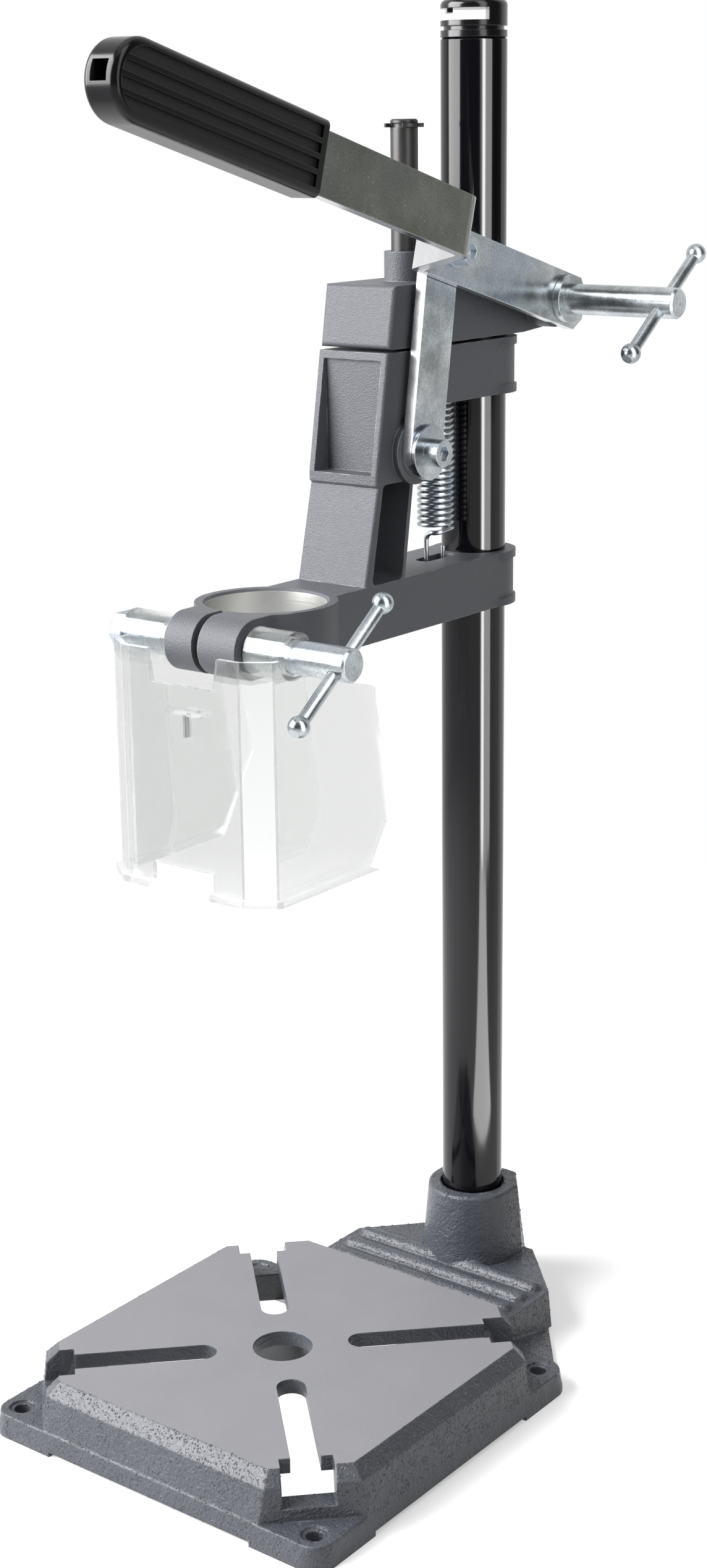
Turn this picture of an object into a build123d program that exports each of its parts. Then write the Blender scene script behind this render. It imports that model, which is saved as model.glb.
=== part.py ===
"""Drill stand: a cast base with a round column, a height bracket, and a spring-returned carriage.

Millimetres, +Z up. The origin lies on the bench under the drill's axis, the column stands at +Y,
and the lever, the link and the two screw handles are on the +X side.
"""
import os
from math import atan, cos, degrees, pi, radians, sin, sqrt

from build123d import *

os.makedirs("parts", exist_ok=True)

# Shared by every piece.
overrun = 1.0                    # how far a cut runs past the face it opens
slide_gap = 0.06                 # radial play of a part that slides or turns on another
seat_gap = 0.3                   # rest distance between a curved seat and what lies on it
face_gap = 0.1                   # play between flat faces that turn on each other
on_base = (Align.CENTER, Align.CENTER, Align.MIN)

# Base casting.
plate_top = 27.0
plate_thick = 6.0
plate_half = 72.5
plate_front = 70.5
plate_back = 76.0
plate_front_cut = 21.5
plate_back_cut = 24.5
band_drop = 5.0                  # sloping band round the machined plate, as wide as it is deep
band_back = 3.0                  # the band's width behind the plate
foot_cut = 29.0                  # corner cut of the skirt's foot
foot_height = 2.0
foot_run = 32.0
casting_wall = 5.0
ear_half = 81.0
ear_depth = 80.0                 # from the drill's axis to the ears' front and back edges
ear_corner = 9.0
ear_top = 9.1
ear_inset = 9.4
ear_hole_radius = 3.3
ear_dish_radius = 5.0
ear_dish_depth = 0.8
centre_hole_radius = 11.6
slot_count = 4
slot_turn = 45.0
slot_width = 11.0
slot_start = 25.5
notch_width = 19.5
notch_start = 81.0
notch_floor = 14.0
corner_share = 2 - sqrt(2)

# Web and socket behind the plate.
web_half = 49.0
web_top = 18.0
web_square_back = 112.5
web_tail_half = 23.0
web_tail_back = 140.0
web_flare = 1.0
ridge_radius = 3.5
ridge_sink = 0.5
ridge_pitch = 10.8
ridge_first = 89.0
ridge_count = 3
ridge_inset = 3.0                # how far the ridges' round ends stand in from the web's sides
socket_top = 48.7
socket_top_radius = 18.4
socket_foot_radius = 22.4
socket_edge = 1.5
socket_floor = 12.0
socket_mouth_gap = 1.0
socket_mouth_depth = 3.0
tail_half = 10.0
tail_straight = 7.0              # how far the socket's sides run straight behind the column's axis
tail_reach = 18.0

# Column, its cap and its set screw.
column_y = 128.0
column_radius = 12.5
column_wall = 2.0
column_length = 500.0
column_chamfer = 0.8
cap_disc = 2.5
cap_neck = 1.5
cap_neck_inset = 1.2
cap_height = 13.5
cap_plug = 12.0
cap_floor = 2.0
cap_roof = 3.2
cap_tip = 2.2
cap_tip_drop = 1.6
cap_spine_share = 0.4
cap_turn = 217.7                 # degrees from +X to the open side of the cap's hook
set_screw_radius = 3.0
set_screw_length = 6.0
set_screw_height = 36.0
set_screw_socket = 3.0

# Guide rod, link and lever geometry.
rod_y = 83.8
rod_radius = 5.0
rod_top = 483.2
rod_seat = 17.0                  # how deep the rod stands in the upper arm
stroke = 43.5
ring_radius = 7.2
ring_groove = 0.6
ring_thick = 1.4
stop_gap = 0.2
spindle_y = 150.3
spindle_z = 415.9
lever_slope = 15.7
pin_reach = 76.3
pin_rise = 1.0                   # the link pin's height over the lever's middle line
link_foot_y = 66.0
link_foot_z = 366.4

# Carriage casting with the drill collar.
carriage_bottom = 299.0
carriage_height = 103.6
arm_height = 21.1
arm_half = 15.8
arm_wall = 3.3
bead = 0.9
bead_height = 3.0
tower_foot_y = 37.4
tower_ledge_y = 44.7
tower_top_y = 52.0
tower_ledge_z = 356.0
tower_foot_back = 61.2
tower_back = 66.9
tower_wall = 3.8
tower_back_wall = 1.8
tower_web = 3.0
tower_step = 1.0                 # how far the ledge stands out from the tower's lower face
tower_edge = 1.2
tower_root = 4.0                 # hollow corner between the tower's foot and the arm
pocket_corner = 2.0
face_pocket_side = 2.8
face_pocket_depth = 0.8          # the pocket's depth at its top, over the tower's sloping face
face_pocket_lip = 3.4
link_boss_radius = 12.0
spring_hole_gap = 1.1
hook_slot_width = 7.0
hook_slot_margin = 3.6
hook_slot_floor = 4.0
bar_radius = 2.3
bar_sink = 4.1

# Drill collar.
bore_radius = 21.5
bore_chamfer = 1.0
collar_wall = 4.0
clamp_y = -28.5
ear_left = 12.5
ear_right = 16.5
ear_slit = 2.8
arm_root_y = 8.0

# Height bracket.
bracket_gap = 1.1
bracket_height = 22.2
bracket_front_top = 56.5
bracket_front_foot = 52.8
bracket_half = 15.8
sleeve_rise = 10.7
sleeve_radius = 7.6
barrel_radius = 11.3
barrel_step = 0.5                # the boss beside the lever is this much smaller in radius
bracket_slit = 2.6
bracket_edge = 1.6

# Screws, handles and their bars.
screw_radius = 4.0
washer_radius = 9.0
washer_thick = 1.4
upper_handle_radius = 5.75
upper_handle_end = 77.4
upper_bar_x = 70.8
lower_handle_radius = 5.9
lower_handle_start = 34.8
lower_handle_end = 60.9
lower_bar_x = 55.7
bar_spacing = 57.0
tommy_radius = 2.25
ball_radius = 3.75
ball_flat = 3.2
bar_tilt = 36.0
nut_across = 13.0
nut_thick = 6.0
spacer_radius = 6.75
spacer_left_end = 36.8
cap_screw_radius = 3.0
cap_head_radius = 5.0
cap_head_height = 6.0
cap_socket_across = 5.0
cap_socket_depth = 3.0
link_washer_radius = 10.0
link_washer_thick = 1.7
pin_washer_radius = 5.8
link_screw_reach = 16.0

# Link and lever strips.
link_x = 18.3
link_thick = 4.3
link_width = 19.0
link_play = 2.4                  # radial play of the lever's pin in the link
strip_x = 23.2
strip_thick = 4.0
strip_width = 20.0
strip_tail = 14.0
strip_clip = 5.0
strip_outer_x = 60.4
joggle_start = 95.5
joggle_end = 121.0
joggle_bend = 4.0
tang_end = 285.0

# Grip.
grip_start = 208.0
grip_length = 94.6
grip_thick = 13.0
grip_width = 24.0
grip_edge = 2.4
grip_rim = 2.6
grip_recess = 1.2
grip_rib = 1.6
grip_ribs = 3
grip_hole = 6.0
grip_hole_depth = 9.0

# Return spring.
spring_y = 102.9
coil_radius = 6.35
wire_radius = 0.9
coil_half_turns = 57
coil_samples = 24                # measuring points a turn for the gap between turns
coil_lift = 11.5                 # first turn over the lower arm
coil_drop = 21.2                 # last turn under the bracket's bar
hook_radius = 5.5
hook_tip = 5.8
bend_radius = 3.0
bend_rise = 1.0

# Clear guard.
guard_half = 36.5
guard_front = 47.3
guard_front_half = 26.1
guard_side_front = 40.0
guard_wall = 2.0
guard_bottom = 224.0
guard_clip_y = 14.0
guard_clip_rise = 14.6
guard_low_back = 23.6
guard_high_back = 15.0
guard_high_z = 291.0
guard_shoulder_y = 20.0
guard_shoulder_z = 301.5
guard_rim = 2.4
guard_notch_left = 15.0
guard_notch_right = 13.0
guard_notch_rise = 9.0
hinge_radius = 8.5
hinge_left_start = 17.5
hinge_right_start = 20.0
window_left = 13.0
window_right = 15.0
window_drop = 11.5
tab_half = 8.0
tab_depth = 5.0
tab_drop = 20.0
tab_thick = 2.0
tab_pin_radius = 0.8
tab_pin_length = 8.0

# Heights and places that follow from the sizes above.
arm_top = carriage_bottom + arm_height
carriage_top = carriage_bottom + carriage_height
upper_arm_foot = carriage_top - arm_height
bracket_bottom = carriage_top + bracket_gap
bracket_top = bracket_bottom + bracket_height
sleeve_top = bracket_top + sleeve_rise
column_foot = socket_floor
column_top = column_foot + column_length
clamp_z = carriage_bottom + arm_height / 2
collar_radius = bore_radius + collar_wall
nose_radius = arm_height / 2
ear_left_x = -ear_slit / 2 - ear_left
ear_right_x = ear_slit / 2 + ear_right
slope = radians(lever_slope)
lever_along = (0, -cos(slope), sin(slope))
lever_up = (0, sin(slope), cos(slope))
pin_y = spindle_y - pin_reach * cos(slope) + pin_rise * sin(slope)
pin_z = spindle_z + pin_reach * sin(slope) + pin_rise * cos(slope)
bar_y = spring_y - coil_radius + hook_radius
low_bar_z = arm_top - bar_sink
high_bar_z = bracket_top - bar_sink - wire_radius - bar_radius
hook_drop = bar_radius + seat_gap + wire_radius
spring_hole_radius = coil_radius + wire_radius + spring_hole_gap
skirt_slope = (ear_half - plate_half - band_drop) / (plate_top - band_drop - foot_height)
skirt_draft = degrees(atan(skirt_slope))
ear_lean = skirt_slope * (ear_top - foot_height)
gusset_start = web_half - casting_wall
gusset_front = ear_depth - ear_corner


def mirrored(right):
    """An outline from its points on the +X side, in order, and their mirror images."""
    return right + [(-x, y) for x, y in reversed(right)]


def cut_square(half, front, back, front_cut, back_cut):
    """Corners of a rectangle whose four corners are cut off."""
    return mirrored([
        (half - front_cut, -front), (half, front_cut - front),
        (half, back - back_cut), (half - back_cut, back),
    ])


def plate_outline(grow, grow_back):
    """Corners of the plate's outline, moved outward by grow, and by grow_back behind."""
    return cut_square(
        plate_half + grow, plate_front + grow, plate_back + grow_back,
        plate_front_cut + grow * corner_share, plate_back_cut + grow_back * corner_share,
    )


def foot_outline(grow):
    """Corners of the skirt's foot, moved outward by grow."""
    cut = foot_cut + grow * corner_share
    return cut_square(ear_half + grow, ear_depth + grow, ear_depth + grow, cut, cut)


def web_outline(grow):
    """Corners of the web's outline behind the plate, moved outward by grow."""
    return mirrored([
        (web_half + grow, plate_back - casting_wall), (web_half + grow, web_square_back + grow),
        (web_tail_half + grow, web_tail_back + grow),
    ])


def tail_outline(grow):
    """Corners of the socket's back half, moved outward by grow."""
    return mirrored([
        (socket_top_radius + grow, column_y), (socket_top_radius + grow, column_y + tail_straight),
        (tail_half + grow, column_y + tail_reach + grow),
    ])


def lever_face(x):
    """Plane of the lever's side at x: along the lever, then up across it, facing -X."""
    return Plane(origin=(x, spindle_y, spindle_z), x_dir=lever_along, z_dir=(-1, 0, 0))


def screw_plane(x, y, z):
    """Plane square to +X at a point, for pieces that are turned about that line."""
    return Plane(origin=(x, y, z), x_dir=(0, 1, 0), z_dir=(1, 0, 0))


def bar_plane(x, y, z):
    """Plane at the middle of a handle's bar, facing along the bar."""
    tilt = radians(bar_tilt)
    return Plane(origin=(x, y, z), x_dir=(1, 0, 0), z_dir=(0, cos(tilt), sin(tilt)))


def biarc(start, start_way, end, end_way):
    """Middle point and its direction for two arcs that leave start and reach end along their ways."""
    span = end - start
    ways = start_way + end_way
    along = span.dot(ways)
    room = 4 - ways.dot(ways)
    if room < 1e-9:
        reach = span.dot(span) / (2 * along)
    else:
        reach = (sqrt(along ** 2 + span.dot(span) * room) - along) / room
    first = start + start_way * reach
    second = end - end_way * reach
    return (first + second) / 2, (second - first).normalized()


# The base: plate, skirt, ears and web as one hollow casting, open to the bench.
with BuildPart() as base_plate:
    for low, high, low_z, high_z in (
        (foot_outline(0), plate_outline(band_drop, band_back), foot_height, plate_top - band_drop),
        (plate_outline(band_drop, band_back), plate_outline(0, 0), plate_top - band_drop, plate_top),
    ):
        with BuildSketch(Plane.XY.offset(low_z)):
            with BuildLine():
                Polyline(*low, close=True)
            make_face()
        with BuildSketch(Plane.XY.offset(high_z)):
            with BuildLine():
                Polyline(*high, close=True)
            make_face()
        loft()
    with BuildSketch(Plane.XY.offset(foot_height)):
        with BuildLine():
            Polyline(*web_outline(web_flare), close=True)
        make_face()
    with BuildSketch(Plane.XY.offset(web_top)):
        with BuildLine():
            Polyline(*web_outline(0), close=True)
        make_face()
    loft()
    with BuildSketch(Plane.XY.offset(foot_height)):
        RectangleRounded(2 * ear_half, 2 * ear_depth, ear_corner)
    extrude(amount=ear_top - foot_height, taper=skirt_draft)
    for side in (-1, 1):
        with BuildSketch(Plane.XY.offset(foot_height)):
            with BuildLine():
                Polyline(
                    (side * gusset_start, gusset_front), (side * ear_half, gusset_front),
                    (side * web_half, web_square_back), (side * gusset_start, web_square_back), close=True,
                )
            make_face()
        with BuildSketch(Plane.XY.offset(ear_top)):
            with BuildLine():
                Polyline(
                    (side * gusset_start, gusset_front), (side * (ear_half - ear_lean), gusset_front),
                    (side * web_half, ear_depth), (side * gusset_start, ear_depth), close=True,
                )
            make_face()
        loft(ruled=True)
    with BuildSketch():
        RectangleRounded(2 * ear_half, 2 * ear_depth, ear_corner)
        Rectangle(2 * (ear_half - foot_run), 2 * ear_depth, mode=Mode.SUBTRACT)
        Rectangle(2 * ear_half, 2 * (ear_depth - foot_run), mode=Mode.SUBTRACT)
    extrude(amount=foot_height)
    with BuildSketch():
        with BuildLine():
            Polyline(*foot_outline(-casting_wall), close=True)
        make_face()
    with BuildSketch(Plane.XY.offset(plate_top - plate_thick)):
        with BuildLine():
            Polyline(*plate_outline(-casting_wall, -casting_wall), close=True)
        make_face()
    loft(mode=Mode.SUBTRACT)
    with BuildSketch():
        with BuildLine():
            Polyline(*web_outline(web_flare - casting_wall), close=True)
        make_face()
    with BuildSketch(Plane.XY.offset(web_top - casting_wall)):
        with BuildLine():
            Polyline(*web_outline(-casting_wall), close=True)
        make_face()
    loft(mode=Mode.SUBTRACT)
    for number in range(ridge_count):
        ridge_y = ridge_first + number * ridge_pitch
        with BuildSketch(Plane.YZ):
            with Locations((ridge_y, web_top - ridge_sink)):
                Circle(ridge_radius)
        extrude(amount=web_half - ridge_inset - ridge_radius, both=True)
        for side in (-1, 1):
            with Locations((side * (web_half - ridge_inset - ridge_radius), ridge_y, web_top - ridge_sink)):
                Sphere(ridge_radius)
    with BuildSketch(Plane.XY.offset(foot_height)):
        with Locations((0, column_y)):
            Circle(socket_foot_radius)
    with BuildSketch(Plane.XY.offset(socket_top)):
        with Locations((0, column_y)):
            Circle(socket_top_radius)
    loft()
    with BuildSketch(Plane.XY.offset(foot_height)):
        with BuildLine():
            Polyline(*tail_outline(socket_foot_radius - socket_top_radius), close=True)
        make_face()
    with BuildSketch(Plane.XY.offset(socket_top)):
        with BuildLine():
            Polyline(*tail_outline(0), close=True)
        make_face()
    loft()
    fillet(base_plate.edges().group_by(Axis.Z)[-1], socket_edge)
    with Locations((0, column_y, column_foot)):
        Cylinder(column_radius + slide_gap, socket_top, align=on_base, mode=Mode.SUBTRACT)
    with Locations((0, column_y, socket_top - socket_mouth_depth)):
        Cylinder(column_radius + socket_mouth_gap, socket_top, align=on_base, mode=Mode.SUBTRACT)
    with BuildSketch(Plane.XZ.offset(-column_y)):
        with Locations((0, set_screw_height)):
            Circle(set_screw_radius + slide_gap)
    extrude(amount=-tail_reach - socket_foot_radius, mode=Mode.SUBTRACT)
    with PolarLocations(0, slot_count, start_angle=slot_turn):
        with Locations((slot_start + slot_width / 2, 0, 0)):
            Cylinder(slot_width / 2, plate_top + overrun, align=on_base, mode=Mode.SUBTRACT)
            Box(notch_start - slot_start - slot_width / 2, slot_width, plate_top + overrun,
                align=(Align.MIN, Align.CENTER, Align.MIN), mode=Mode.SUBTRACT)
        with Locations((notch_start - overrun, 0, notch_floor)):
            Box(slot_start, notch_width, plate_top, align=(Align.MIN, Align.CENTER, Align.MIN),
                mode=Mode.SUBTRACT)
    Cylinder(centre_hole_radius, plate_top + overrun, align=on_base, mode=Mode.SUBTRACT)
    for side in (-1, 1):
        for ear_y in (ear_inset - ear_depth, ear_depth - ear_inset):
            with Locations((side * (ear_half - ear_inset), ear_y, 0)):
                Cylinder(ear_hole_radius, ear_top + overrun, align=on_base, mode=Mode.SUBTRACT)
            with Locations((side * (ear_half - ear_inset), ear_y, ear_top - ear_dish_depth)):
                Cylinder(ear_dish_radius, plate_top, align=on_base, mode=Mode.SUBTRACT)

# The column: a round tube that stands on the socket's floor.
with BuildPart() as column_tube:
    with BuildSketch(Plane.XY.offset(column_foot)):
        with Locations((0, column_y)):
            Circle(column_radius)
            Circle(column_radius - column_wall, mode=Mode.SUBTRACT)
    extrude(amount=column_length)
    chamfer(column_tube.edges().group_by(Axis.Z)[-1].sort_by(SortBy.RADIUS)[-1], column_chamfer)

# The cap: a plug in the column's top with a hook for the drill's lead, open to one side.
with BuildPart(Plane(origin=(0, column_y, column_top), z_dir=(0, 0, 1)).rotated((0, 0, cap_turn))) as column_cap:
    with Locations((0, 0, -cap_plug)):
        Cylinder(column_radius - column_wall - slide_gap, cap_plug, align=on_base)
    Cylinder(column_radius, cap_disc, align=on_base)
    Cylinder(column_radius - cap_neck_inset, cap_disc + cap_neck, align=on_base)
    with Locations((0, 0, cap_disc + cap_neck)):
        Cylinder(column_radius, cap_height - cap_disc - cap_neck, align=on_base)
    fillet(column_cap.edges().group_by(Axis.Z)[-1], cap_tip)
    with Locations((-column_radius * cap_spine_share, 0, cap_disc + cap_neck + cap_floor)):
        Box(2 * column_radius, 2 * (column_radius + overrun),
            cap_height - cap_disc - cap_neck - cap_floor - cap_roof,
            align=(Align.MIN, Align.CENTER, Align.MIN), mode=Mode.SUBTRACT)
    with Locations((column_radius - cap_tip, 0, cap_height - cap_roof)):
        Box(cap_tip, column_radius, 2 * cap_tip_drop, align=(Align.MAX, Align.CENTER, Align.CENTER))

# The set screw behind the socket, with its hexagon socket.
screw_end = column_y + column_radius + seat_gap
with BuildPart(Plane(origin=(0, screw_end, set_screw_height), z_dir=(0, 1, 0))) as column_set_screw:
    Cylinder(set_screw_radius, set_screw_length, align=on_base)
    with BuildSketch(Plane(origin=(0, screw_end + set_screw_length, set_screw_height), z_dir=(0, 1, 0))):
        RegularPolygon(set_screw_socket / 2, 6, major_radius=False)
    extrude(amount=-set_screw_socket, mode=Mode.SUBTRACT)

# The height bracket: clamps the column, guides the rod and carries the lever's spindle.
with BuildPart() as height_bracket:
    with BuildSketch(Plane.YZ):
        with Locations((spindle_y, spindle_z)):
            Circle(barrel_radius)
        with BuildLine():
            Line((spindle_y - barrel_radius, bracket_bottom), (spindle_y - barrel_radius, bracket_top))
        make_hull()
        with BuildLine():
            Polyline(
                (bracket_front_foot, bracket_bottom), (spindle_y - barrel_radius, bracket_bottom),
                (spindle_y - barrel_radius, bracket_top), (bracket_front_top, bracket_top), close=True,
            )
        make_face()
    extrude(amount=bracket_half, both=True)
    front_edges = height_bracket.edges().filter_by_position(
        Axis.Y, bracket_front_foot - overrun, bracket_front_top + overrun)
    fillet(front_edges, bracket_edge)
    with BuildSketch(Plane.YZ.offset(bracket_half - overrun)):
        with Locations((spindle_y, spindle_z)):
            Circle(barrel_radius - barrel_step)
    extrude(amount=strip_x - face_gap - bracket_half + overrun)
    with Locations((0, rod_y, bracket_top - overrun)):
        Cylinder(sleeve_radius, sleeve_rise + overrun, align=on_base)
    with Locations((0, column_y, bracket_bottom - overrun)):
        Cylinder(column_radius + slide_gap, bracket_height + 2 * overrun, align=on_base, mode=Mode.SUBTRACT)
    with Locations((0, rod_y, bracket_bottom - overrun)):
        Cylinder(rod_radius + slide_gap, sleeve_top - bracket_bottom + 2 * overrun, align=on_base,
                 mode=Mode.SUBTRACT)
    with Locations((0, column_y, bracket_bottom - overrun)):
        Box(bracket_slit, spindle_y, bracket_height + barrel_radius, align=(Align.CENTER, Align.MIN, Align.MIN),
            mode=Mode.SUBTRACT)
    with BuildSketch(Plane.YZ.offset(-bracket_half - overrun)):
        with Locations((spindle_y, spindle_z)):
            Circle(screw_radius + slide_gap)
    extrude(amount=strip_x + bracket_half + 2 * overrun, mode=Mode.SUBTRACT)
    with BuildSketch(Plane.XY.offset(bracket_bottom)):
        with Locations((0, bar_y)):
            SlotOverall(2 * (hook_radius + wire_radius + hook_slot_margin), hook_slot_width, rotation=90)
    extrude(amount=bracket_height - bar_sink + hook_slot_margin - seat_gap, mode=Mode.SUBTRACT)
    with BuildSketch(Plane.YZ):
        with Locations((bar_y, high_bar_z)):
            Circle(bar_radius)
    extrude(amount=hook_slot_width / 2 + overrun, both=True)

# The carriage: two arms on the column, the tower between them and the drill collar in front.
with BuildPart() as carriage:
    for foot in (carriage_bottom, upper_arm_foot):
        front = arm_root_y if foot == carriage_bottom else tower_top_y
        with BuildSketch(Plane.XY.offset(foot)):
            with Locations((0, column_y)):
                Circle(column_radius + arm_wall)
            with Locations((0, front)):
                Rectangle(2 * arm_half, column_y - front, align=(Align.CENTER, Align.MIN))
        extrude(amount=arm_height)
        for bead_foot in (foot, foot + arm_height - bead_height):
            with Locations((0, column_y, bead_foot)):
                Cylinder(column_radius + arm_wall + bead, bead_height, align=on_base)
    with Locations((0, 0, carriage_bottom)):
        Cylinder(collar_radius, arm_height, align=on_base)
    with BuildSketch(Plane.YZ.offset(ear_left_x)):
        with Locations((clamp_y, clamp_z)):
            Circle(nose_radius)
        with Locations((clamp_y, carriage_bottom)):
            Rectangle(-clamp_y, arm_height, align=(Align.MIN, Align.MIN))
    extrude(amount=ear_right_x - ear_left_x)
    with BuildSketch(Plane.YZ) as tower_profile:
        with BuildLine():
            Polyline(
                (tower_foot_y - 2 * tower_root, arm_top - overrun), (tower_foot_y - 2 * tower_root, arm_top),
                (tower_foot_y, arm_top), (tower_ledge_y + tower_step, tower_ledge_z - tower_step),
                (tower_ledge_y, tower_ledge_z), (tower_ledge_y, tower_ledge_z + face_pocket_lip),
                (tower_top_y, carriage_top), (tower_back, carriage_top),
                (tower_back, tower_ledge_z), (tower_foot_back, arm_top),
                (tower_foot_back + 2 * tower_root, arm_top),
                (tower_foot_back + 2 * tower_root, arm_top - overrun), close=True,
            )
        make_face()
        foot_corners = tower_profile.vertices().filter_by_position(Axis.Z, arm_top - face_gap, arm_top + face_gap)
        fillet(foot_corners.sort_by(Axis.Y)[1:3], tower_root)
    extrude(amount=arm_half, both=True)
    tower_edges = carriage.edges().filter_by_position(Axis.Y, tower_foot_y - overrun, tower_top_y + overrun)
    upright_edges = tower_edges.filter_by_position(Axis.Z, arm_top + bead, carriage_top - bead)
    fillet([edge for edge in upright_edges if abs(edge.center().X) > arm_half - bead], tower_edge)
    with BuildSketch(Plane.YZ):
        with Locations((link_foot_y, link_foot_z)):
            Circle(link_boss_radius)
    extrude(amount=link_x - face_gap)
    for side in (-1, 1):
        with BuildSketch(Plane.YZ.offset(side * tower_web / 2)) as tower_pocket:
            with BuildLine():
                Polyline(
                    (tower_foot_y + tower_wall, arm_top), (tower_ledge_y + tower_wall, tower_ledge_z),
                    (tower_back - tower_back_wall, tower_ledge_z),
                    (tower_foot_back - tower_back_wall, arm_top), close=True,
                )
            make_face()
            fillet(tower_pocket.vertices(), pocket_corner)
        extrude(amount=side * arm_half, mode=Mode.SUBTRACT)
    with BuildSketch(Plane.YZ):
        with BuildLine():
            Polyline(
                (tower_ledge_y - overrun, tower_ledge_z + face_pocket_lip),
                (tower_top_y + face_pocket_depth, tower_ledge_z + face_pocket_lip),
                (tower_top_y + face_pocket_depth, carriage_top - face_pocket_side),
                (tower_top_y - overrun, carriage_top - face_pocket_side), close=True,
            )
        make_face()
    extrude(amount=arm_half - face_pocket_side, both=True, mode=Mode.SUBTRACT)
    with Locations((0, 0, carriage_bottom)):
        Cylinder(bore_radius, arm_height, align=on_base, mode=Mode.SUBTRACT)
    with Locations((0, 0, arm_top - bore_chamfer)):
        Cone(bore_radius, bore_radius + bore_chamfer, bore_chamfer, align=on_base, mode=Mode.SUBTRACT)
    with Locations((0, 0, carriage_bottom)):
        Box(ear_slit, 2 * (nose_radius - clamp_y), arm_height, align=(Align.CENTER, Align.MAX, Align.MIN),
            mode=Mode.SUBTRACT)
    with BuildSketch(Plane.YZ.offset(ear_left_x - overrun)):
        with Locations((clamp_y, clamp_z)):
            Circle(screw_radius + slide_gap)
    extrude(amount=ear_right_x - ear_left_x + 2 * overrun, mode=Mode.SUBTRACT)
    with Locations((0, column_y, carriage_bottom)):
        Cylinder(column_radius + slide_gap, carriage_height, align=on_base, mode=Mode.SUBTRACT)
    with Locations((0, rod_y, carriage_top - rod_seat)):
        Cylinder(rod_radius, rod_seat, align=on_base, mode=Mode.SUBTRACT)
    with Locations((0, spring_y, upper_arm_foot)):
        Cylinder(spring_hole_radius, arm_height, align=on_base, mode=Mode.SUBTRACT)
    with BuildSketch(Plane.XY.offset(carriage_bottom + hook_slot_floor)):
        with Locations((0, bar_y)):
            SlotOverall(2 * (hook_radius + wire_radius + hook_slot_margin), hook_slot_width, rotation=90)
    extrude(amount=arm_height, mode=Mode.SUBTRACT)
    with BuildSketch(Plane.YZ):
        with Locations((bar_y, low_bar_z)):
            Circle(bar_radius)
    extrude(amount=hook_slot_width / 2 + overrun, both=True)
    with BuildSketch(Plane.YZ.offset(link_x)):
        with Locations((link_foot_y, link_foot_z)):
            Circle(cap_screw_radius)
    extrude(amount=-link_screw_reach, mode=Mode.SUBTRACT)

# The guide rod, pressed into the upper arm, and the ring that stops its stroke.
with BuildPart() as guide_rod:
    with Locations((0, rod_y, carriage_top - rod_seat)):
        Cylinder(rod_radius, rod_top - carriage_top + rod_seat, align=on_base)
    chamfer(guide_rod.edges().group_by(Axis.Z)[-1], ring_groove)
    with BuildSketch(Plane.XY.offset(sleeve_top + stroke + stop_gap)):
        with Locations((0, rod_y)):
            Circle(rod_radius + overrun)
            Circle(rod_radius - ring_groove, mode=Mode.SUBTRACT)
    extrude(amount=ring_thick, mode=Mode.SUBTRACT)

with BuildPart() as rod_stop_ring:
    with BuildSketch(Plane.XY.offset(sleeve_top + stroke + stop_gap)):
        with Locations((0, rod_y)):
            Circle(ring_radius)
            Circle(rod_radius - ring_groove, mode=Mode.SUBTRACT)
        with Locations((0, rod_y - ring_radius)):
            Rectangle(ring_radius, ring_radius, mode=Mode.SUBTRACT)
    extrude(amount=ring_thick)

# The return spring: a close coil on an upright axis with a hook round a cast bar at each end.
coil_foot = arm_top + coil_lift
coil_head = high_bar_z - coil_drop
coil_pitch = 2 * (coil_head - coil_foot) / coil_half_turns
front_y = spring_y - coil_radius
back_y = front_y + 2 * hook_radius
low_turn_z = low_bar_z - hook_drop + hook_radius
high_turn_z = high_bar_z + hook_drop - hook_radius
climb = Vector(0, 0, 1)
circle_length = 2 * pi * coil_radius
stations = [
    (Vector(bend_radius, front_y, coil_foot - bend_rise), Vector(1, 0, 0)),
]
for half_turn in range(coil_half_turns + 1):
    angle = pi * half_turn
    way = Vector(-sin(angle) * circle_length, cos(angle) * circle_length, coil_pitch)
    spot = (coil_radius * cos(angle), spring_y + coil_radius * sin(angle), coil_foot + half_turn * coil_pitch / 2)
    stations.append((Vector(*spot), way.normalized()))
stations.append((Vector(-bend_radius, front_y, coil_head + bend_rise), Vector(1, 0, 0)))

with BuildPart() as return_spring:
    with BuildLine() as spring_route:
        Line((0, back_y, low_turn_z + hook_tip), (0, back_y, low_turn_z))
        ThreePointArc((0, back_y, low_turn_z), (0, bar_y, low_turn_z - hook_radius), (0, front_y, low_turn_z))
        Line((0, front_y, low_turn_z), (0, front_y, coil_foot - bend_rise - bend_radius))
        TangentArc((0, front_y, coil_foot - bend_rise - bend_radius), stations[0][0], tangent=climb)
        for (start, start_way), (end, end_way) in zip(stations, stations[1:]):
            middle, middle_way = biarc(start, start_way, end, end_way)
            TangentArc(start, middle, tangent=start_way)
            TangentArc(middle, end, tangent=middle_way)
        TangentArc(stations[-1][0], (0, front_y, coil_head + bend_rise + bend_radius), tangent=Vector(1, 0, 0))
        Line((0, front_y, coil_head + bend_rise + bend_radius), (0, front_y, high_turn_z))
        ThreePointArc((0, front_y, high_turn_z), (0, bar_y, high_turn_z + hook_radius), (0, back_y, high_turn_z))
        Line((0, back_y, high_turn_z), (0, back_y, high_turn_z - hook_tip))
    with BuildSketch(Plane(origin=(0, back_y, low_turn_z + hook_tip), z_dir=(0, 0, -1))):
        Circle(wire_radius)
    sweep()

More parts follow.
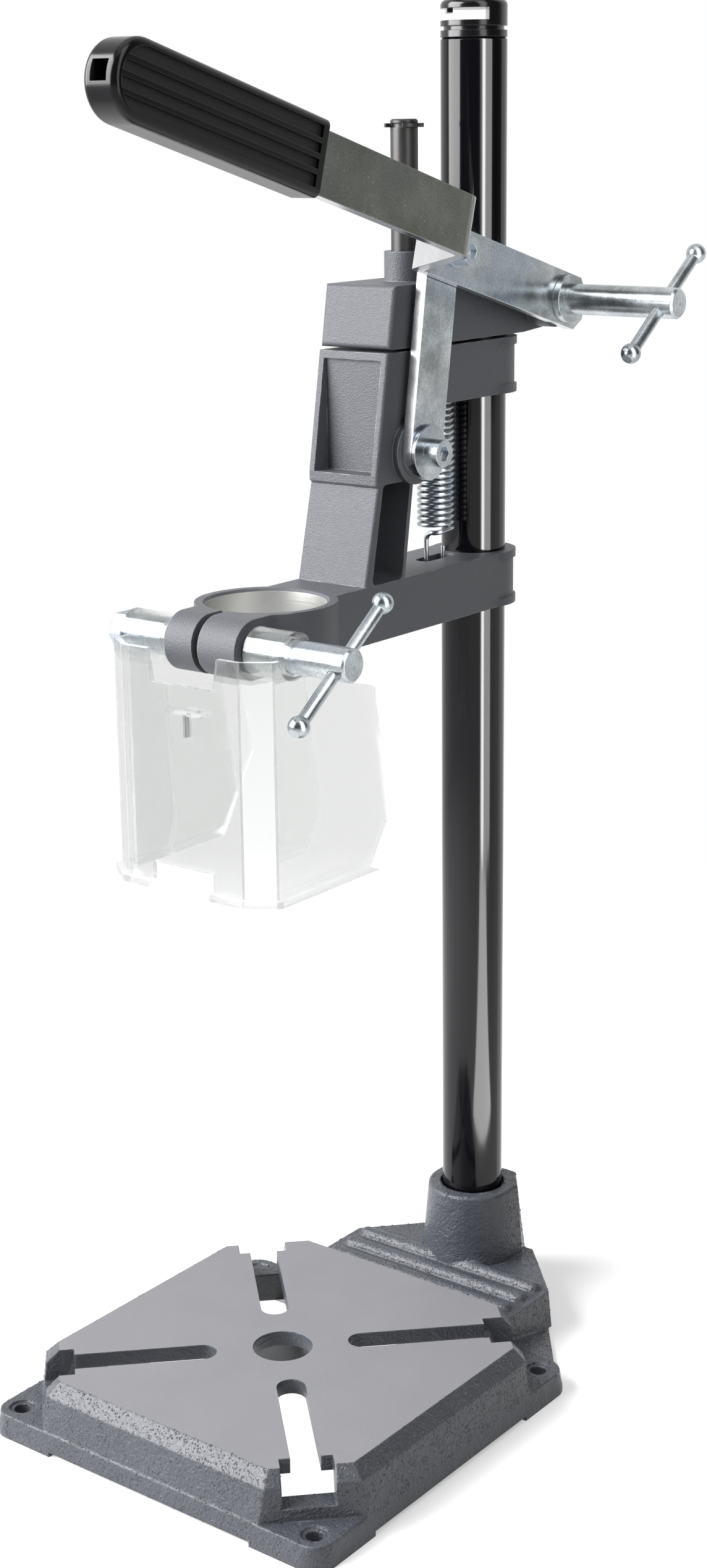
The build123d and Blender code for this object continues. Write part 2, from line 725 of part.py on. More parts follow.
# The least gap between the wire and itself, measured on points at least half a turn apart.
route_points = coil_half_turns * coil_samples // 2
route = spring_route.wire()
spots = [route.position_at(number / route_points) for number in range(route_points + 1)]
least_gap = min(
    (spots[first] - spots[second]).length
    for first in range(route_points + 1)
    for second in range(first + coil_samples // 2, route_points + 1)
) - 2 * wire_radius
print(f"return_spring: least gap to itself {least_gap:.3f} mm")

# The link between the carriage and the lever, with room round the lever's pin.
with BuildPart() as link_bar:
    with BuildSketch(Plane.YZ.offset(link_x)):
        with Locations((link_foot_y, link_foot_z), (pin_y, pin_z)):
            Circle(link_width / 2)
        make_hull()
        with Locations((link_foot_y, link_foot_z)):
            Circle(cap_screw_radius + slide_gap, mode=Mode.SUBTRACT)
        with Locations((pin_y, pin_z)):
            Circle(cap_screw_radius + link_play, mode=Mode.SUBTRACT)
    extrude(amount=link_thick)

link_face = link_x + link_thick
with BuildPart(screw_plane(link_x, link_foot_y, link_foot_z)) as link_screw:
    with Locations((0, 0, -link_screw_reach)):
        Cylinder(cap_screw_radius, link_screw_reach + link_thick + link_washer_thick + face_gap, align=on_base)
    with Locations((0, 0, link_thick + link_washer_thick + face_gap)):
        Cylinder(cap_head_radius, cap_head_height, align=on_base)
    with BuildSketch(screw_plane(link_face + link_washer_thick + face_gap + cap_head_height, link_foot_y, link_foot_z)):
        RegularPolygon(cap_socket_across / 2, 6, major_radius=False)
    extrude(amount=-cap_socket_depth, mode=Mode.SUBTRACT)

with BuildPart(screw_plane(link_face + face_gap, link_foot_y, link_foot_z)) as link_washer:
    Cylinder(link_washer_radius, link_washer_thick, align=on_base)
    Cylinder(cap_screw_radius + slide_gap, link_washer_thick, align=on_base, mode=Mode.SUBTRACT)

# The lever: one strip bent outward to clear the drill, with the link's pin and the spindle's hole.
strip_face = strip_x + strip_thick
with BuildPart() as lever_bar:
    with BuildSketch(Plane(origin=(0, spindle_y, spindle_z), x_dir=lever_along, z_dir=lever_up)):
        with BuildLine():
            FilletPolyline(
                (-strip_tail, strip_x), (joggle_start, strip_x), (joggle_end, strip_outer_x),
                (tang_end, strip_outer_x), radius=joggle_bend,
            )
            offset(amount=strip_thick, side=Side.LEFT)
        make_face()
    extrude(amount=strip_width / 2, both=True)
    tail_corners = lever_bar.edges().filter_by(Axis.X).sort_by(Axis.Y)[-2:]
    chamfer(tail_corners, strip_clip)
    with BuildSketch(Plane.YZ.offset(strip_x - overrun)):
        with Locations((spindle_y, spindle_z)):
            Circle(screw_radius + slide_gap)
        with Locations((pin_y, pin_z)):
            Circle(cap_screw_radius)
    extrude(amount=strip_thick + 2 * overrun, mode=Mode.SUBTRACT)

with BuildPart(screw_plane(link_x + face_gap, pin_y, pin_z)) as lever_pin:
    pin_length = strip_face + link_washer_thick - link_x - face_gap
    Cylinder(cap_screw_radius, pin_length, align=on_base)
    with Locations((0, 0, pin_length)):
        Cylinder(cap_head_radius, cap_head_height, align=on_base)
    with BuildSketch(screw_plane(strip_face + link_washer_thick + cap_head_height, pin_y, pin_z)):
        RegularPolygon(cap_socket_across / 2, 6, major_radius=False)
    extrude(amount=-cap_socket_depth, mode=Mode.SUBTRACT)

with BuildPart(screw_plane(strip_face, pin_y, pin_z)) as pin_washer:
    Cylinder(pin_washer_radius, link_washer_thick, align=on_base)
    Cylinder(cap_screw_radius, link_washer_thick, align=on_base, mode=Mode.SUBTRACT)

# The grip, pushed over the lever's end.
grip_x = strip_outer_x + strip_thick / 2 + grip_thick / 2
grip_middle = grip_start + grip_length / 2
with BuildPart() as lever_grip:
    with BuildSketch(lever_face(grip_x)):
        with BuildLine():
            Polyline(
                (grip_start + grip_length - grip_width / 2, grip_width / 2), (grip_start, grip_width / 2),
                (grip_start, -grip_width / 2), (grip_start + grip_length - grip_width / 2, -grip_width / 2),
            )
            ThreePointArc(
                (grip_start + grip_length - grip_width / 2, -grip_width / 2), (grip_start + grip_length, 0),
                (grip_start + grip_length - grip_width / 2, grip_width / 2),
            )
        make_face()
    extrude(amount=grip_thick)
    fillet(lever_grip.edges().filter_by(GeomType.LINE).group_by(SortBy.LENGTH)[-1], grip_edge)
    for face_x, way in ((grip_x, 1), (grip_x - grip_thick, -1)):
        with BuildSketch(lever_face(face_x)):
            with Locations((grip_middle, 0)):
                SlotOverall(grip_length - 2 * grip_rim, grip_width - 2 * grip_rim)
                with Locations((grip_rim - grip_length / 2, 0)):
                    Rectangle(grip_width, grip_width - 2 * grip_rim, align=(Align.MIN, Align.CENTER))
                with GridLocations(0, (grip_width - 2 * grip_rim) / (grip_ribs + 1), 1, grip_ribs):
                    Rectangle(grip_length, grip_rib, mode=Mode.SUBTRACT)
        extrude(amount=way * grip_recess, mode=Mode.SUBTRACT)
    with BuildSketch(lever_face(strip_outer_x + strip_thick)):
        with Locations((grip_start - overrun, 0)):
            Rectangle(tang_end - grip_start + overrun, strip_width, align=(Align.MIN, Align.CENTER))
    extrude(amount=strip_thick, mode=Mode.SUBTRACT)
    with BuildSketch(lever_face(grip_x - grip_thick / 2 + grip_hole / 2)):
        with Locations((grip_start + grip_length + overrun, 0)):
            Rectangle(grip_hole_depth, grip_hole, align=(Align.MAX, Align.CENTER))
    extrude(amount=grip_hole, mode=Mode.SUBTRACT)

# The upper screw: spindle of the lever and clamp of the bracket.
handle_start = strip_face + 2 * washer_thick + face_gap
with BuildPart(screw_plane(-bracket_half - nut_thick, spindle_y, spindle_z)) as upper_clamp_screw:
    stem = bracket_half + nut_thick + handle_start
    Cylinder(screw_radius, stem, align=on_base)
    with Locations((0, 0, stem)):
        Cylinder(upper_handle_radius, upper_handle_end - handle_start, align=on_base)
    chamfer(upper_clamp_screw.edges().filter_by(GeomType.CIRCLE).sort_by(Axis.X)[-1], column_chamfer)
    with BuildSketch(bar_plane(upper_bar_x, spindle_y, spindle_z)):
        Circle(tommy_radius + slide_gap)
    extrude(amount=upper_handle_radius + overrun, both=True, mode=Mode.SUBTRACT)

with BuildPart(screw_plane(strip_face + face_gap, spindle_y, spindle_z)) as spindle_washers:
    with Locations((0, 0, 0), (0, 0, washer_thick)):
        Cylinder(washer_radius, washer_thick, align=on_base)
    Cylinder(screw_radius + slide_gap, 2 * washer_thick, align=on_base, mode=Mode.SUBTRACT)

with BuildPart() as bracket_nut:
    with BuildSketch(screw_plane(-bracket_half, spindle_y, spindle_z)):
        RegularPolygon(nut_across / 2, 6, major_radius=False)
        Circle(screw_radius + slide_gap, mode=Mode.SUBTRACT)
    extrude(amount=-nut_thick)

with BuildPart(bar_plane(upper_bar_x, spindle_y, spindle_z)) as upper_tommy_bar:
    Cylinder(tommy_radius, bar_spacing)
    with Locations((0, 0, -bar_spacing / 2), (0, 0, bar_spacing / 2)):
        Sphere(ball_radius)
    Cylinder(ball_radius, bar_spacing + 2 * ball_flat, mode=Mode.INTERSECT)

# The lower screw: clamp of the collar and hinge of the guard.
with BuildPart(screw_plane(-spacer_left_end - nut_thick, clamp_y, clamp_z)) as lower_clamp_screw:
    lower_stem = spacer_left_end + nut_thick + lower_handle_start
    Cylinder(screw_radius, lower_stem, align=on_base)
    with Locations((0, 0, lower_stem)):
        Cylinder(lower_handle_radius, lower_handle_end - lower_handle_start, align=on_base)
    chamfer(lower_clamp_screw.edges().filter_by(GeomType.CIRCLE).sort_by(Axis.X)[-1], column_chamfer)
    with BuildSketch(bar_plane(lower_bar_x, clamp_y, clamp_z)):
        Circle(tommy_radius + slide_gap)
    extrude(amount=lower_handle_radius + overrun, both=True, mode=Mode.SUBTRACT)

with BuildPart() as clamp_spacers:
    for start, length in (
        (ear_right_x, lower_handle_start - face_gap - ear_right_x), (-spacer_left_end, spacer_left_end + ear_left_x),
    ):
        with BuildSketch(screw_plane(start, clamp_y, clamp_z)):
            Circle(spacer_radius)
            Circle(screw_radius + slide_gap, mode=Mode.SUBTRACT)
        extrude(amount=length)

with BuildPart() as clamp_nut:
    with BuildSketch(screw_plane(-spacer_left_end, clamp_y, clamp_z)):
        RegularPolygon(nut_across / 2, 6, major_radius=False)
        Circle(screw_radius + slide_gap, mode=Mode.SUBTRACT)
    extrude(amount=-nut_thick)

with BuildPart(bar_plane(lower_bar_x, clamp_y, clamp_z)) as lower_tommy_bar:
    Cylinder(tommy_radius, bar_spacing)
    with Locations((0, 0, -bar_spacing / 2), (0, 0, bar_spacing / 2)):
        Sphere(ball_radius)
    Cylinder(ball_radius, bar_spacing + 2 * ball_flat, mode=Mode.INTERSECT)

# The clear guard: three walls that hang from the lower screw's spacers and swing up to the front.
with BuildPart() as chip_guard:
    with BuildSketch(Plane.XY.offset(guard_bottom)):
        with BuildLine():
            Polyline(
                (-guard_half, guard_low_back), (-guard_half, -guard_side_front),
                (-guard_front_half, -guard_front), (guard_front_half, -guard_front),
                (guard_half, -guard_side_front), (guard_half, guard_low_back),
            )
            offset(amount=guard_wall, side=Side.LEFT)
        make_face()
    extrude(amount=clamp_z + hinge_radius - guard_bottom)
    with BuildSketch(Plane.XY.offset(guard_bottom)):
        with BuildLine():
            Polyline(
                (-guard_half, guard_low_back), (-guard_half, -guard_side_front),
                (-guard_front_half, -guard_front), (guard_front_half, -guard_front),
                (guard_half, -guard_side_front), (guard_half, guard_low_back),
            )
            offset(amount=guard_rim, side=Side.RIGHT)
        make_face()
    extrude(amount=guard_rim)
    with BuildSketch(Plane.YZ):
        with BuildLine():
            Polyline(
                (-guard_front - guard_rim - overrun, guard_bottom), (guard_clip_y, guard_bottom),
                (guard_low_back, guard_bottom + guard_clip_rise), (guard_high_back, guard_high_z),
                (-guard_shoulder_y, guard_shoulder_z), (clamp_y, clamp_z),
                (-guard_front - guard_rim - overrun, clamp_z), close=True,
            )
        make_face()
        with Locations((clamp_y, clamp_z)):
            Circle(hinge_radius)
    extrude(amount=guard_half + guard_rim, both=True, mode=Mode.INTERSECT)
    with BuildSketch(Plane.YZ.offset(hinge_right_start)):
        with Locations((clamp_y, clamp_z)):
            Circle(hinge_radius)
    extrude(amount=guard_half - hinge_right_start)
    with BuildSketch(Plane.YZ.offset(-guard_half)):
        with Locations((clamp_y, clamp_z)):
            Circle(hinge_radius)
    extrude(amount=guard_half - hinge_left_start)
    with BuildSketch(Plane.YZ):
        with Locations((clamp_y, clamp_z)):
            Circle(spacer_radius + slide_gap)
    extrude(amount=guard_half + overrun, both=True, mode=Mode.SUBTRACT)
    with BuildSketch(Plane.XZ.offset(guard_front + guard_rim + overrun)):
        with BuildLine():
            Polyline(
                (-window_left - guard_wall, clamp_z + overrun), (-window_left, clamp_z - window_drop),
                (window_right, clamp_z - window_drop), (window_right + guard_wall, clamp_z + overrun), close=True,
            )
        make_face()
        with Locations((-guard_notch_left, guard_bottom)):
            Rectangle(guard_notch_left + guard_notch_right, guard_notch_rise, align=(Align.MIN, Align.MIN))
    extrude(amount=-guard_rim - guard_wall - 2 * overrun, mode=Mode.SUBTRACT)
    with Locations((0, -guard_front + guard_wall, clamp_z - tab_drop)):
        Box(2 * tab_half, tab_depth, tab_thick, align=(Align.CENTER, Align.MIN, Align.MAX))

with BuildPart() as guard_pin:
    with Locations((0, -guard_front + guard_wall + tab_depth / 2, clamp_z - tab_drop - tab_thick)):
        Cylinder(tab_pin_radius, tab_pin_length, align=(Align.CENTER, Align.CENTER, Align.MAX))

nodes = {
    "base_plate": base_plate, "column_tube": column_tube, "column_cap": column_cap,
    "column_set_screw": column_set_screw, "height_bracket": height_bracket, "carriage": carriage,
    "guide_rod": guide_rod, "rod_stop_ring": rod_stop_ring, "return_spring": return_spring,
    "link_bar": link_bar, "link_screw": link_screw, "link_washer": link_washer, "lever_bar": lever_bar,
    "lever_pin": lever_pin, "pin_washer": pin_washer, "lever_grip": lever_grip,
    "upper_clamp_screw": upper_clamp_screw, "spindle_washers": spindle_washers, "bracket_nut": bracket_nut,
    "upper_tommy_bar": upper_tommy_bar, "lower_clamp_screw": lower_clamp_screw,
    "clamp_spacers": clamp_spacers, "clamp_nut": clamp_nut, "lower_tommy_bar": lower_tommy_bar,
    "chip_guard": chip_guard, "guard_pin": guard_pin,
}
for name, builder in nodes.items():
    builder.part.label = name
    export_step(builder.part, f"parts/{name}.step")
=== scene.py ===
"""The looks of a drill stand: cast base and heads, plated lever work, moulded grip and clear chip guard."""

import logging
import math
from dataclasses import dataclass, field
from enum import Enum
from typing import Any, Optional, Sequence, Union

import bmesh
import bpy
from mathutils import Matrix, Vector


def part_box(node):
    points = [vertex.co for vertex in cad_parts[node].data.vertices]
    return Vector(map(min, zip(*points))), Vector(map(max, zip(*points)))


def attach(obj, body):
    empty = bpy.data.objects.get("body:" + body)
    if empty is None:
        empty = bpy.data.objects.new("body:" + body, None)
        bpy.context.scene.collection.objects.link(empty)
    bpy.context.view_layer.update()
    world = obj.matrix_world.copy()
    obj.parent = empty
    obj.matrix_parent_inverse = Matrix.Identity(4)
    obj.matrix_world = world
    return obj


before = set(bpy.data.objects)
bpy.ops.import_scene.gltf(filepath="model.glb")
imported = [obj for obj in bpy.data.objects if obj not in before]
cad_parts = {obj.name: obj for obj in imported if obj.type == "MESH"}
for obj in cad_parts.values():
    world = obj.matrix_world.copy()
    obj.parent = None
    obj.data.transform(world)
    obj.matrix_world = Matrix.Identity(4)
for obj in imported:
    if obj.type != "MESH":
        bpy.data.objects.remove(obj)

log = logging.getLogger("drill_stand")

Node = bpy.types.Node
Socket = bpy.types.NodeSocket
Tree = bpy.types.NodeTree
Feed = Union[float, Sequence[float], Socket]

MM = 1000.0                 # millimetres in a metre
BEVEL_SAMPLES = 6
WHITE = (1.0, 1.0, 1.0, 1.0)
MILLED_LEVEL = 26.9         # height of the base's milled plate, in millimetres
LEVEL_BAND = 0.3            # what lies this near to that height belongs to the plate, in millimetres
UPWARD = 0.95               # least Z of the normal of a face that looks up
SIDEWAYS = 0.9              # least X of the normal of a face that looks along X
SLANTED = 0.8               # X of the normal where such a face has turned into its edge
WALL = 0.1                  # a face whose normal's Z is less than this either way is a wall
NOISE = (0.3, 0.7)          # the span that most of a noise lies in
WEAR_SHARP = (0.995, 0.8)   # how well rounded and true normal agree where an edge's wear begins and is full
WEAR_PATCH = 7.0            # width of the patches that break up the wear, in millimetres
WEAR_BREAK = (0.42, 0.62)   # the patches' noise where the wear begins and is full


def linear(code: str) -> tuple[float, float, float, float]:
    """Turns an sRGB hex colour into the linear colour that Blender works in.

    Args:
        code: The colour as six hex digits after a hash.

    Returns:
        Red, green, blue and a full alpha, all linear.
    """
    levels = [int(code[i:i + 2], 16) / 255 for i in (1, 3, 5)]
    red, green, blue = (v / 12.92 if v <= 0.04045 else ((v + 0.055) / 1.055) ** 2.4 for v in levels)
    return red, green, blue, 1.0


def feed(tree: Tree, node: Node, feeds: dict[Union[str, int], Feed]) -> None:
    """Sets or links a node's inputs.

    Args:
        tree: The node tree that holds the node.
        node: The node.
        feeds: For each input, by name or place, a value or the socket that links to it.
    """
    for socket, value in feeds.items():
        if isinstance(value, Socket):
            tree.links.new(value, node.inputs[socket])
        else:
            node.inputs[socket].default_value = value


def add(tree: Tree, kind: str, feeds: Optional[dict[Union[str, int], Feed]] = None, **settings: Any) -> Node:
    """Adds one node with its settings and what feeds its inputs.

    Args:
        tree: The node tree that gets the node.
        kind: The node's type name.
        feeds: For each input, by name or place, a value or the socket that links to it.
        **settings: The node's own options.

    Returns:
        The new node.
    """
    node = tree.nodes.new(kind)
    for name, value in settings.items():
        setattr(node, name, value)
    feed(tree, node, feeds or {})
    return node


def pattern(place: Socket, size: float, **more: float) -> dict[Union[str, int], Feed]:
    """Gives what a texture reads so that its features are size millimetres wide.

    Args:
        place: The Object coordinates, or what is worked out from them.
        size: The features' width in millimetres.
        **more: The texture's other inputs.

    Returns:
        The texture's inputs by name.
    """
    return {"Vector": place, "Scale": MM / size, **more}


def mixed(tree: Tree, share: Feed, low: Feed, high: Feed) -> Socket:
    """Mixes two colours.

    Args:
        tree: The material's tree.
        share: How much of the second colour shows, 0 to 1.
        low: The first colour.
        high: The second colour.

    Returns:
        The mixed colour's socket.
    """
    return add(tree, "ShaderNodeMix", {0: share, 6: low, 7: high}, data_type="RGBA").outputs[2]


def worn_edges(tree: Tree, reach: float, place: Socket) -> Socket:
    """Finds the sharp edges of a piece, broken up as handling breaks up a coating.

    Args:
        tree: The material's tree.
        reach: How far from the edge the wear goes, in millimetres.
        place: The Object coordinates.

    Returns:
        A mask, 1 on a worn edge and 0 elsewhere.
    """
    soft = add(tree, "ShaderNodeBevel", {"Radius": reach / MM}, samples=BEVEL_SAMPLES)
    true = add(tree, "ShaderNodeNewGeometry")
    turn = add(tree, "ShaderNodeVectorMath", {0: soft.outputs[0], 1: true.outputs["Normal"]}, operation="DOT_PRODUCT")
    edge = add(tree, "ShaderNodeMapRange", {0: turn.outputs["Value"], 1: WEAR_SHARP[0], 2: WEAR_SHARP[1]})
    patches = add(tree, "ShaderNodeTexNoise", pattern(place, WEAR_PATCH, Detail=6.0))
    broken = add(tree, "ShaderNodeMapRange", {0: patches.outputs[0], 1: WEAR_BREAK[0], 2: WEAR_BREAK[1]})
    return add(tree, "ShaderNodeMath", {0: edge.outputs[0], 1: broken.outputs[0]}, operation="MULTIPLY").outputs[0]


@dataclass(frozen=True)
class Finish:
    """One finish of the stand, with its sizes in millimetres. A subclass paints it onto the shader."""

    name: str
    edge: float = 0.5       # radius that the light sees on a sharp edge

    def material(self) -> bpy.types.Material:
        """Builds the material once and keeps it under its name.

        Returns:
            The finished material.
        """
        known = bpy.data.materials.get(self.name)
        if known:
            return known
        made = bpy.data.materials.new(self.name)
        made.use_nodes = True
        tree = made.node_tree
        tree.nodes.clear()
        shader = add(tree, "ShaderNodeBsdfPrincipled")
        add(tree, "ShaderNodeOutputMaterial", {"Surface": shader.outputs[0]})
        place = add(tree, "ShaderNodeTexCoord").outputs["Object"]
        self.paint(tree, shader, place)
        return made

    def rounded(self, tree: Tree) -> Socket:
        """The normal with its sharp edges rounded to this finish's edge radius."""
        return add(tree, "ShaderNodeBevel", {"Radius": self.edge / MM}, samples=BEVEL_SAMPLES).outputs[0]

    def facing(self, tree: Tree) -> bpy.types.bpy_prop_collection:
        """The X, Y and Z of the way that a face looks, as sockets."""
        true = add(tree, "ShaderNodeNewGeometry")
        return add(tree, "ShaderNodeSeparateXYZ", {0: true.outputs["True Normal"]}).outputs

    def paint(self, tree: Tree, shader: Node, place: Socket) -> None:
        """Sets the shader. A subclass says how.

        Args:
            tree: The material's tree.
            shader: The Principled shader.
            place: The Object coordinates.
        """
        raise NotImplementedError


@dataclass(frozen=True)
class StructurePaint(Finish):
    """Structure paint on a sand-cast iron base: coarse sand grain under a satin blue-grey coat.

    The grain catches the light as many small glints. The work plate above it is milled, so it is paler and shows
    the cutter's fine arcs.
    """

    edge: float = 1.3
    coat: str = "#464950"
    shade: str = "#383b41"
    worn: str = "#6f7278"
    milled: str = "#7b7b7f"
    milled_shade: str = "#727276"
    grain: float = 1.1          # width of a sand grain's bump
    cutter_step: float = 1.1    # feed of the milling cutter, drawn coarser than the real 0.2 so that it shows
    cutter_reach: float = 260.0     # distance of the arcs' centre behind the plate's middle
    cloud: float = 24.0         # width of a cloud of shade in the coat
    wear: float = 1.1           # how far the wear of an edge goes
    swell: float = 5.0          # width of the casting's slow swells
    swell_height: float = 1.2   # their height, in grains
    depth: float = 0.42         # depth of the grain
    rough: float = 0.33
    salt: float = 0.6           # width of a speck on the milled plate
    salt_share: float = 0.62    # share of specks in the plate's marks, the rest being arcs
    mark_span: tuple[float, float] = (0.25, 0.75)   # the marks' noise at their darkest and brightest
    mark_tone: tuple[float, float] = (0.88, 1.12)   # and their share of the plate's colour there
    milled_depth: float = 0.09  # depth of the marks
    milled_rough: float = 0.5

    def paint(self, tree: Tree, shader: Node, place: Socket) -> None:
        """Grainy coat with worn edges, and the milled plate by its height and direction.

        Args:
            tree: The material's tree.
            shader: The Principled shader.
            place: The Object coordinates.
        """
        split = add(tree, "ShaderNodeSeparateXYZ", {0: place})
        facing = self.facing(tree)
        high = add(tree, "ShaderNodeMath", {0: split.outputs[2], 1: MILLED_LEVEL / MM}, operation="GREATER_THAN")
        level = add(tree, "ShaderNodeMath", {0: facing[2], 1: UPWARD}, operation="GREATER_THAN")
        plate = add(tree, "ShaderNodeMath", {0: high.outputs[0], 1: level.outputs[0]}, operation="MULTIPLY")
        below = add(tree, "ShaderNodeMath", {0: split.outputs[2], 1: (MILLED_LEVEL + LEVEL_BAND) / MM},
                    operation="LESS_THAN")
        bounded = add(tree, "ShaderNodeMath", {0: plate.outputs[0], 1: below.outputs[0]}, operation="MULTIPLY")
        milled = bounded.outputs[0]
        clouds = add(tree, "ShaderNodeTexNoise", pattern(place, self.cloud, Detail=6.0))
        coat = mixed(tree, clouds.outputs[0], linear(self.shade), linear(self.coat))
        worn = mixed(tree, worn_edges(tree, self.wear, place), coat, linear(self.worn))
        bare = mixed(tree, clouds.outputs[0], linear(self.milled_shade), linear(self.milled))
        centred = add(tree, "ShaderNodeMapping", {"Vector": place, "Location": (0.0, -self.cutter_reach / MM, 0.0)})
        arcs = add(tree, "ShaderNodeTexWave", {"Vector": centred.outputs[0],
                                               "Scale": MM / self.cutter_step * math.pi / 10,
                                               "Distortion": 1.5, "Detail": 2.0, "Detail Scale": 0.4},
                   wave_type="RINGS", rings_direction="Z")
        salt = add(tree, "ShaderNodeTexNoise", pattern(place, self.salt, Detail=3.0))
        marks = add(tree, "ShaderNodeMix", {0: self.salt_share, 2: arcs.outputs["Fac"], 3: salt.outputs[0]})
        speck = add(tree, "ShaderNodeMapRange", {0: marks.outputs[0], 1: self.mark_span[0], 2: self.mark_span[1],
                                                 3: self.mark_tone[0], 4: self.mark_tone[1]})
        flecked = add(tree, "ShaderNodeMix", {0: 1.0, 6: bare, 7: speck.outputs[0]}, data_type="RGBA",
                      blend_type="MULTIPLY")
        colour = mixed(tree, milled, worn, flecked.outputs[2])
        rough = add(tree, "ShaderNodeMix", {0: milled, 2: self.rough, 3: self.milled_rough})
        grains = add(tree, "ShaderNodeTexNoise", pattern(place, self.grain, Detail=3.0, Roughness=0.55))
        swell = add(tree, "ShaderNodeTexNoise", pattern(place, self.swell, Detail=2.0))
        sand = add(tree, "ShaderNodeMath", {0: swell.outputs[0], 1: self.swell_height, 2: grains.outputs[0]},
                   operation="MULTIPLY_ADD")
        coarse = add(tree, "ShaderNodeBump", {"Strength": 1.0, "Distance": self.depth / MM,
                                              "Height": sand.outputs[0], "Normal": self.rounded(tree)})
        flat = add(tree, "ShaderNodeBump", {"Strength": 0.5, "Distance": self.milled_depth / MM,
                                            "Height": marks.outputs[0]})
        normal = add(tree, "ShaderNodeMix", {0: milled, 4: coarse.outputs[0], 5: flat.outputs[0]}, data_type="VECTOR")
        feed(tree, shader, {"Base Color": colour, "Roughness": rough.outputs[0], "Normal": normal.outputs[1]})


@dataclass(frozen=True)
class HeadCoat(Finish):
    """Fine structure powder coat on the die-cast aluminium heads: satin dark grey with an orange-peel grain.

    Where a tool has bored the casting, the bare aluminium shows bright and finely ringed.
    """

    coat: str = "#505257"
    shade: str = "#484a4f"
    worn: str = "#96989b"
    bare: str = "#c2c2c0"
    cloud: float = 22.0         # width of a cloud of shade in the coat
    wear: float = 0.6           # how far the wear of an edge goes
    grain: float = 0.45         # width of the coat's grain
    depth: float = 0.32         # depth of the grain
    rough: tuple[float, float] = (0.38, 0.48)
    shine: float = 0.45         # specular level
    bore: float = 0.0           # radius of a bare bore about the Z axis, 0 for none
    bore_skin: float = 0.06     # how far outside that radius the wall is still bare
    ring: float = 0.9           # width of the boring tool's rings
    ring_depth: float = 0.12    # their depth

    def paint(self, tree: Tree, shader: Node, place: Socket) -> None:
        """Grained coat, with the bored wall bare where the head has one.

        Args:
            tree: The material's tree.
            shader: The Principled shader.
            place: The Object coordinates.
        """
        clouds = add(tree, "ShaderNodeTexNoise", pattern(place, self.cloud, Detail=4.0))
        coat = mixed(tree, clouds.outputs[0], linear(self.shade), linear(self.coat))
        coloured = mixed(tree, worn_edges(tree, self.wear, place), coat, linear(self.worn))
        grains = add(tree, "ShaderNodeTexNoise", pattern(place, self.grain, Detail=2.0, Roughness=0.55))
        coarse = add(tree, "ShaderNodeBump", {"Strength": 0.9, "Distance": self.depth / MM,
                                              "Height": grains.outputs[0], "Normal": self.rounded(tree)})
        split = add(tree, "ShaderNodeSeparateXYZ", {0: place})
        flat = add(tree, "ShaderNodeCombineXYZ", {0: split.outputs[0], 1: split.outputs[1], 2: 0.0})
        away = add(tree, "ShaderNodeVectorMath", {0: flat.outputs[0]}, operation="LENGTH")
        inside = add(tree, "ShaderNodeMath", {0: away.outputs["Value"], 1: (self.bore + self.bore_skin) / MM},
                     operation="LESS_THAN").outputs[0]
        rings = add(tree, "ShaderNodeCombineXYZ", {0: 0.0, 1: 0.0, 2: split.outputs[2]})
        marks = add(tree, "ShaderNodeTexNoise", pattern(rings.outputs[0], self.ring, Detail=4.0))
        ringed = add(tree, "ShaderNodeBump", {"Strength": 0.6, "Distance": self.ring_depth / MM,
                                              "Height": marks.outputs[0]})
        rough = add(tree, "ShaderNodeMapRange", {0: clouds.outputs[0], 3: self.rough[0], 4: self.rough[1]})
        normal = add(tree, "ShaderNodeMix", {0: inside, 4: coarse.outputs[0], 5: ringed.outputs[0]},
                     data_type="VECTOR")
        feed(tree, shader, {"Base Color": mixed(tree, inside, coloured, linear(self.bare)), "Metallic": inside,
                            "Roughness": rough.outputs[0], "Specular IOR Level": self.shine,
                            "Normal": normal.outputs[1]})


@dataclass(frozen=True)
class GlossEnamel(Finish):
    """Gloss black enamel on drawn steel tube: deep black with sharp upright streaks of light."""

    low: str = "#050509"
    high: str = "#09090e"
    rough: tuple[float, float] = (0.08, 0.13)
    shine: float = 0.3          # specular level
    metal: float = 0.0
    mark: float = 1.2           # width of a draw mark
    squeeze: float = 0.02       # a mark's width over its length
    detail: float = 4.0         # how finely the marks split up
    depth: float = 0.03         # depth of a mark
    strength: float = 0.12

    def paint(self, tree: Tree, shader: Node, place: Socket) -> None:
        """A thin coat with the draw marks of the tube or bar just showing through.

        Args:
            tree: The material's tree.
            shader: The Principled shader.
            place: The Object coordinates.
        """
        drawn = add(tree, "ShaderNodeMapping", {"Vector": place, "Scale": (1.0, 1.0, self.squeeze)})
        marks = add(tree, "ShaderNodeTexNoise", pattern(drawn.outputs[0], self.mark, Detail=self.detail))
        colour = mixed(tree, marks.outputs[0], linear(self.low), linear(self.high))
        rough = add(tree, "ShaderNodeMapRange", {0: marks.outputs[0], 3: self.rough[0], 4: self.rough[1]})
        bump = add(tree, "ShaderNodeBump", {"Strength": self.strength, "Distance": self.depth / MM,
                                            "Height": marks.outputs[0], "Normal": self.rounded(tree)})
        feed(tree, shader, {"Base Color": colour, "Roughness": rough.outputs[0], "Metallic": self.metal,
                            "Specular IOR Level": self.shine, "Normal": bump.outputs[0]})


@dataclass(frozen=True)
class OxideSteel(GlossEnamel):
    """Black-oxide steel, drawn like the enamelled tube: a bare brown-grey skin with a dull metal shine."""

    low: str = "#3a3938"
    high: str = "#4c4b4b"
    rough: tuple[float, float] = (0.30, 0.45)
    shine: float = 0.5
    metal: float = 0.75
    mark: float = 1.5
    squeeze: float = 0.08
    detail: float = 5.0
    depth: float = 0.05
    strength: float = 0.2


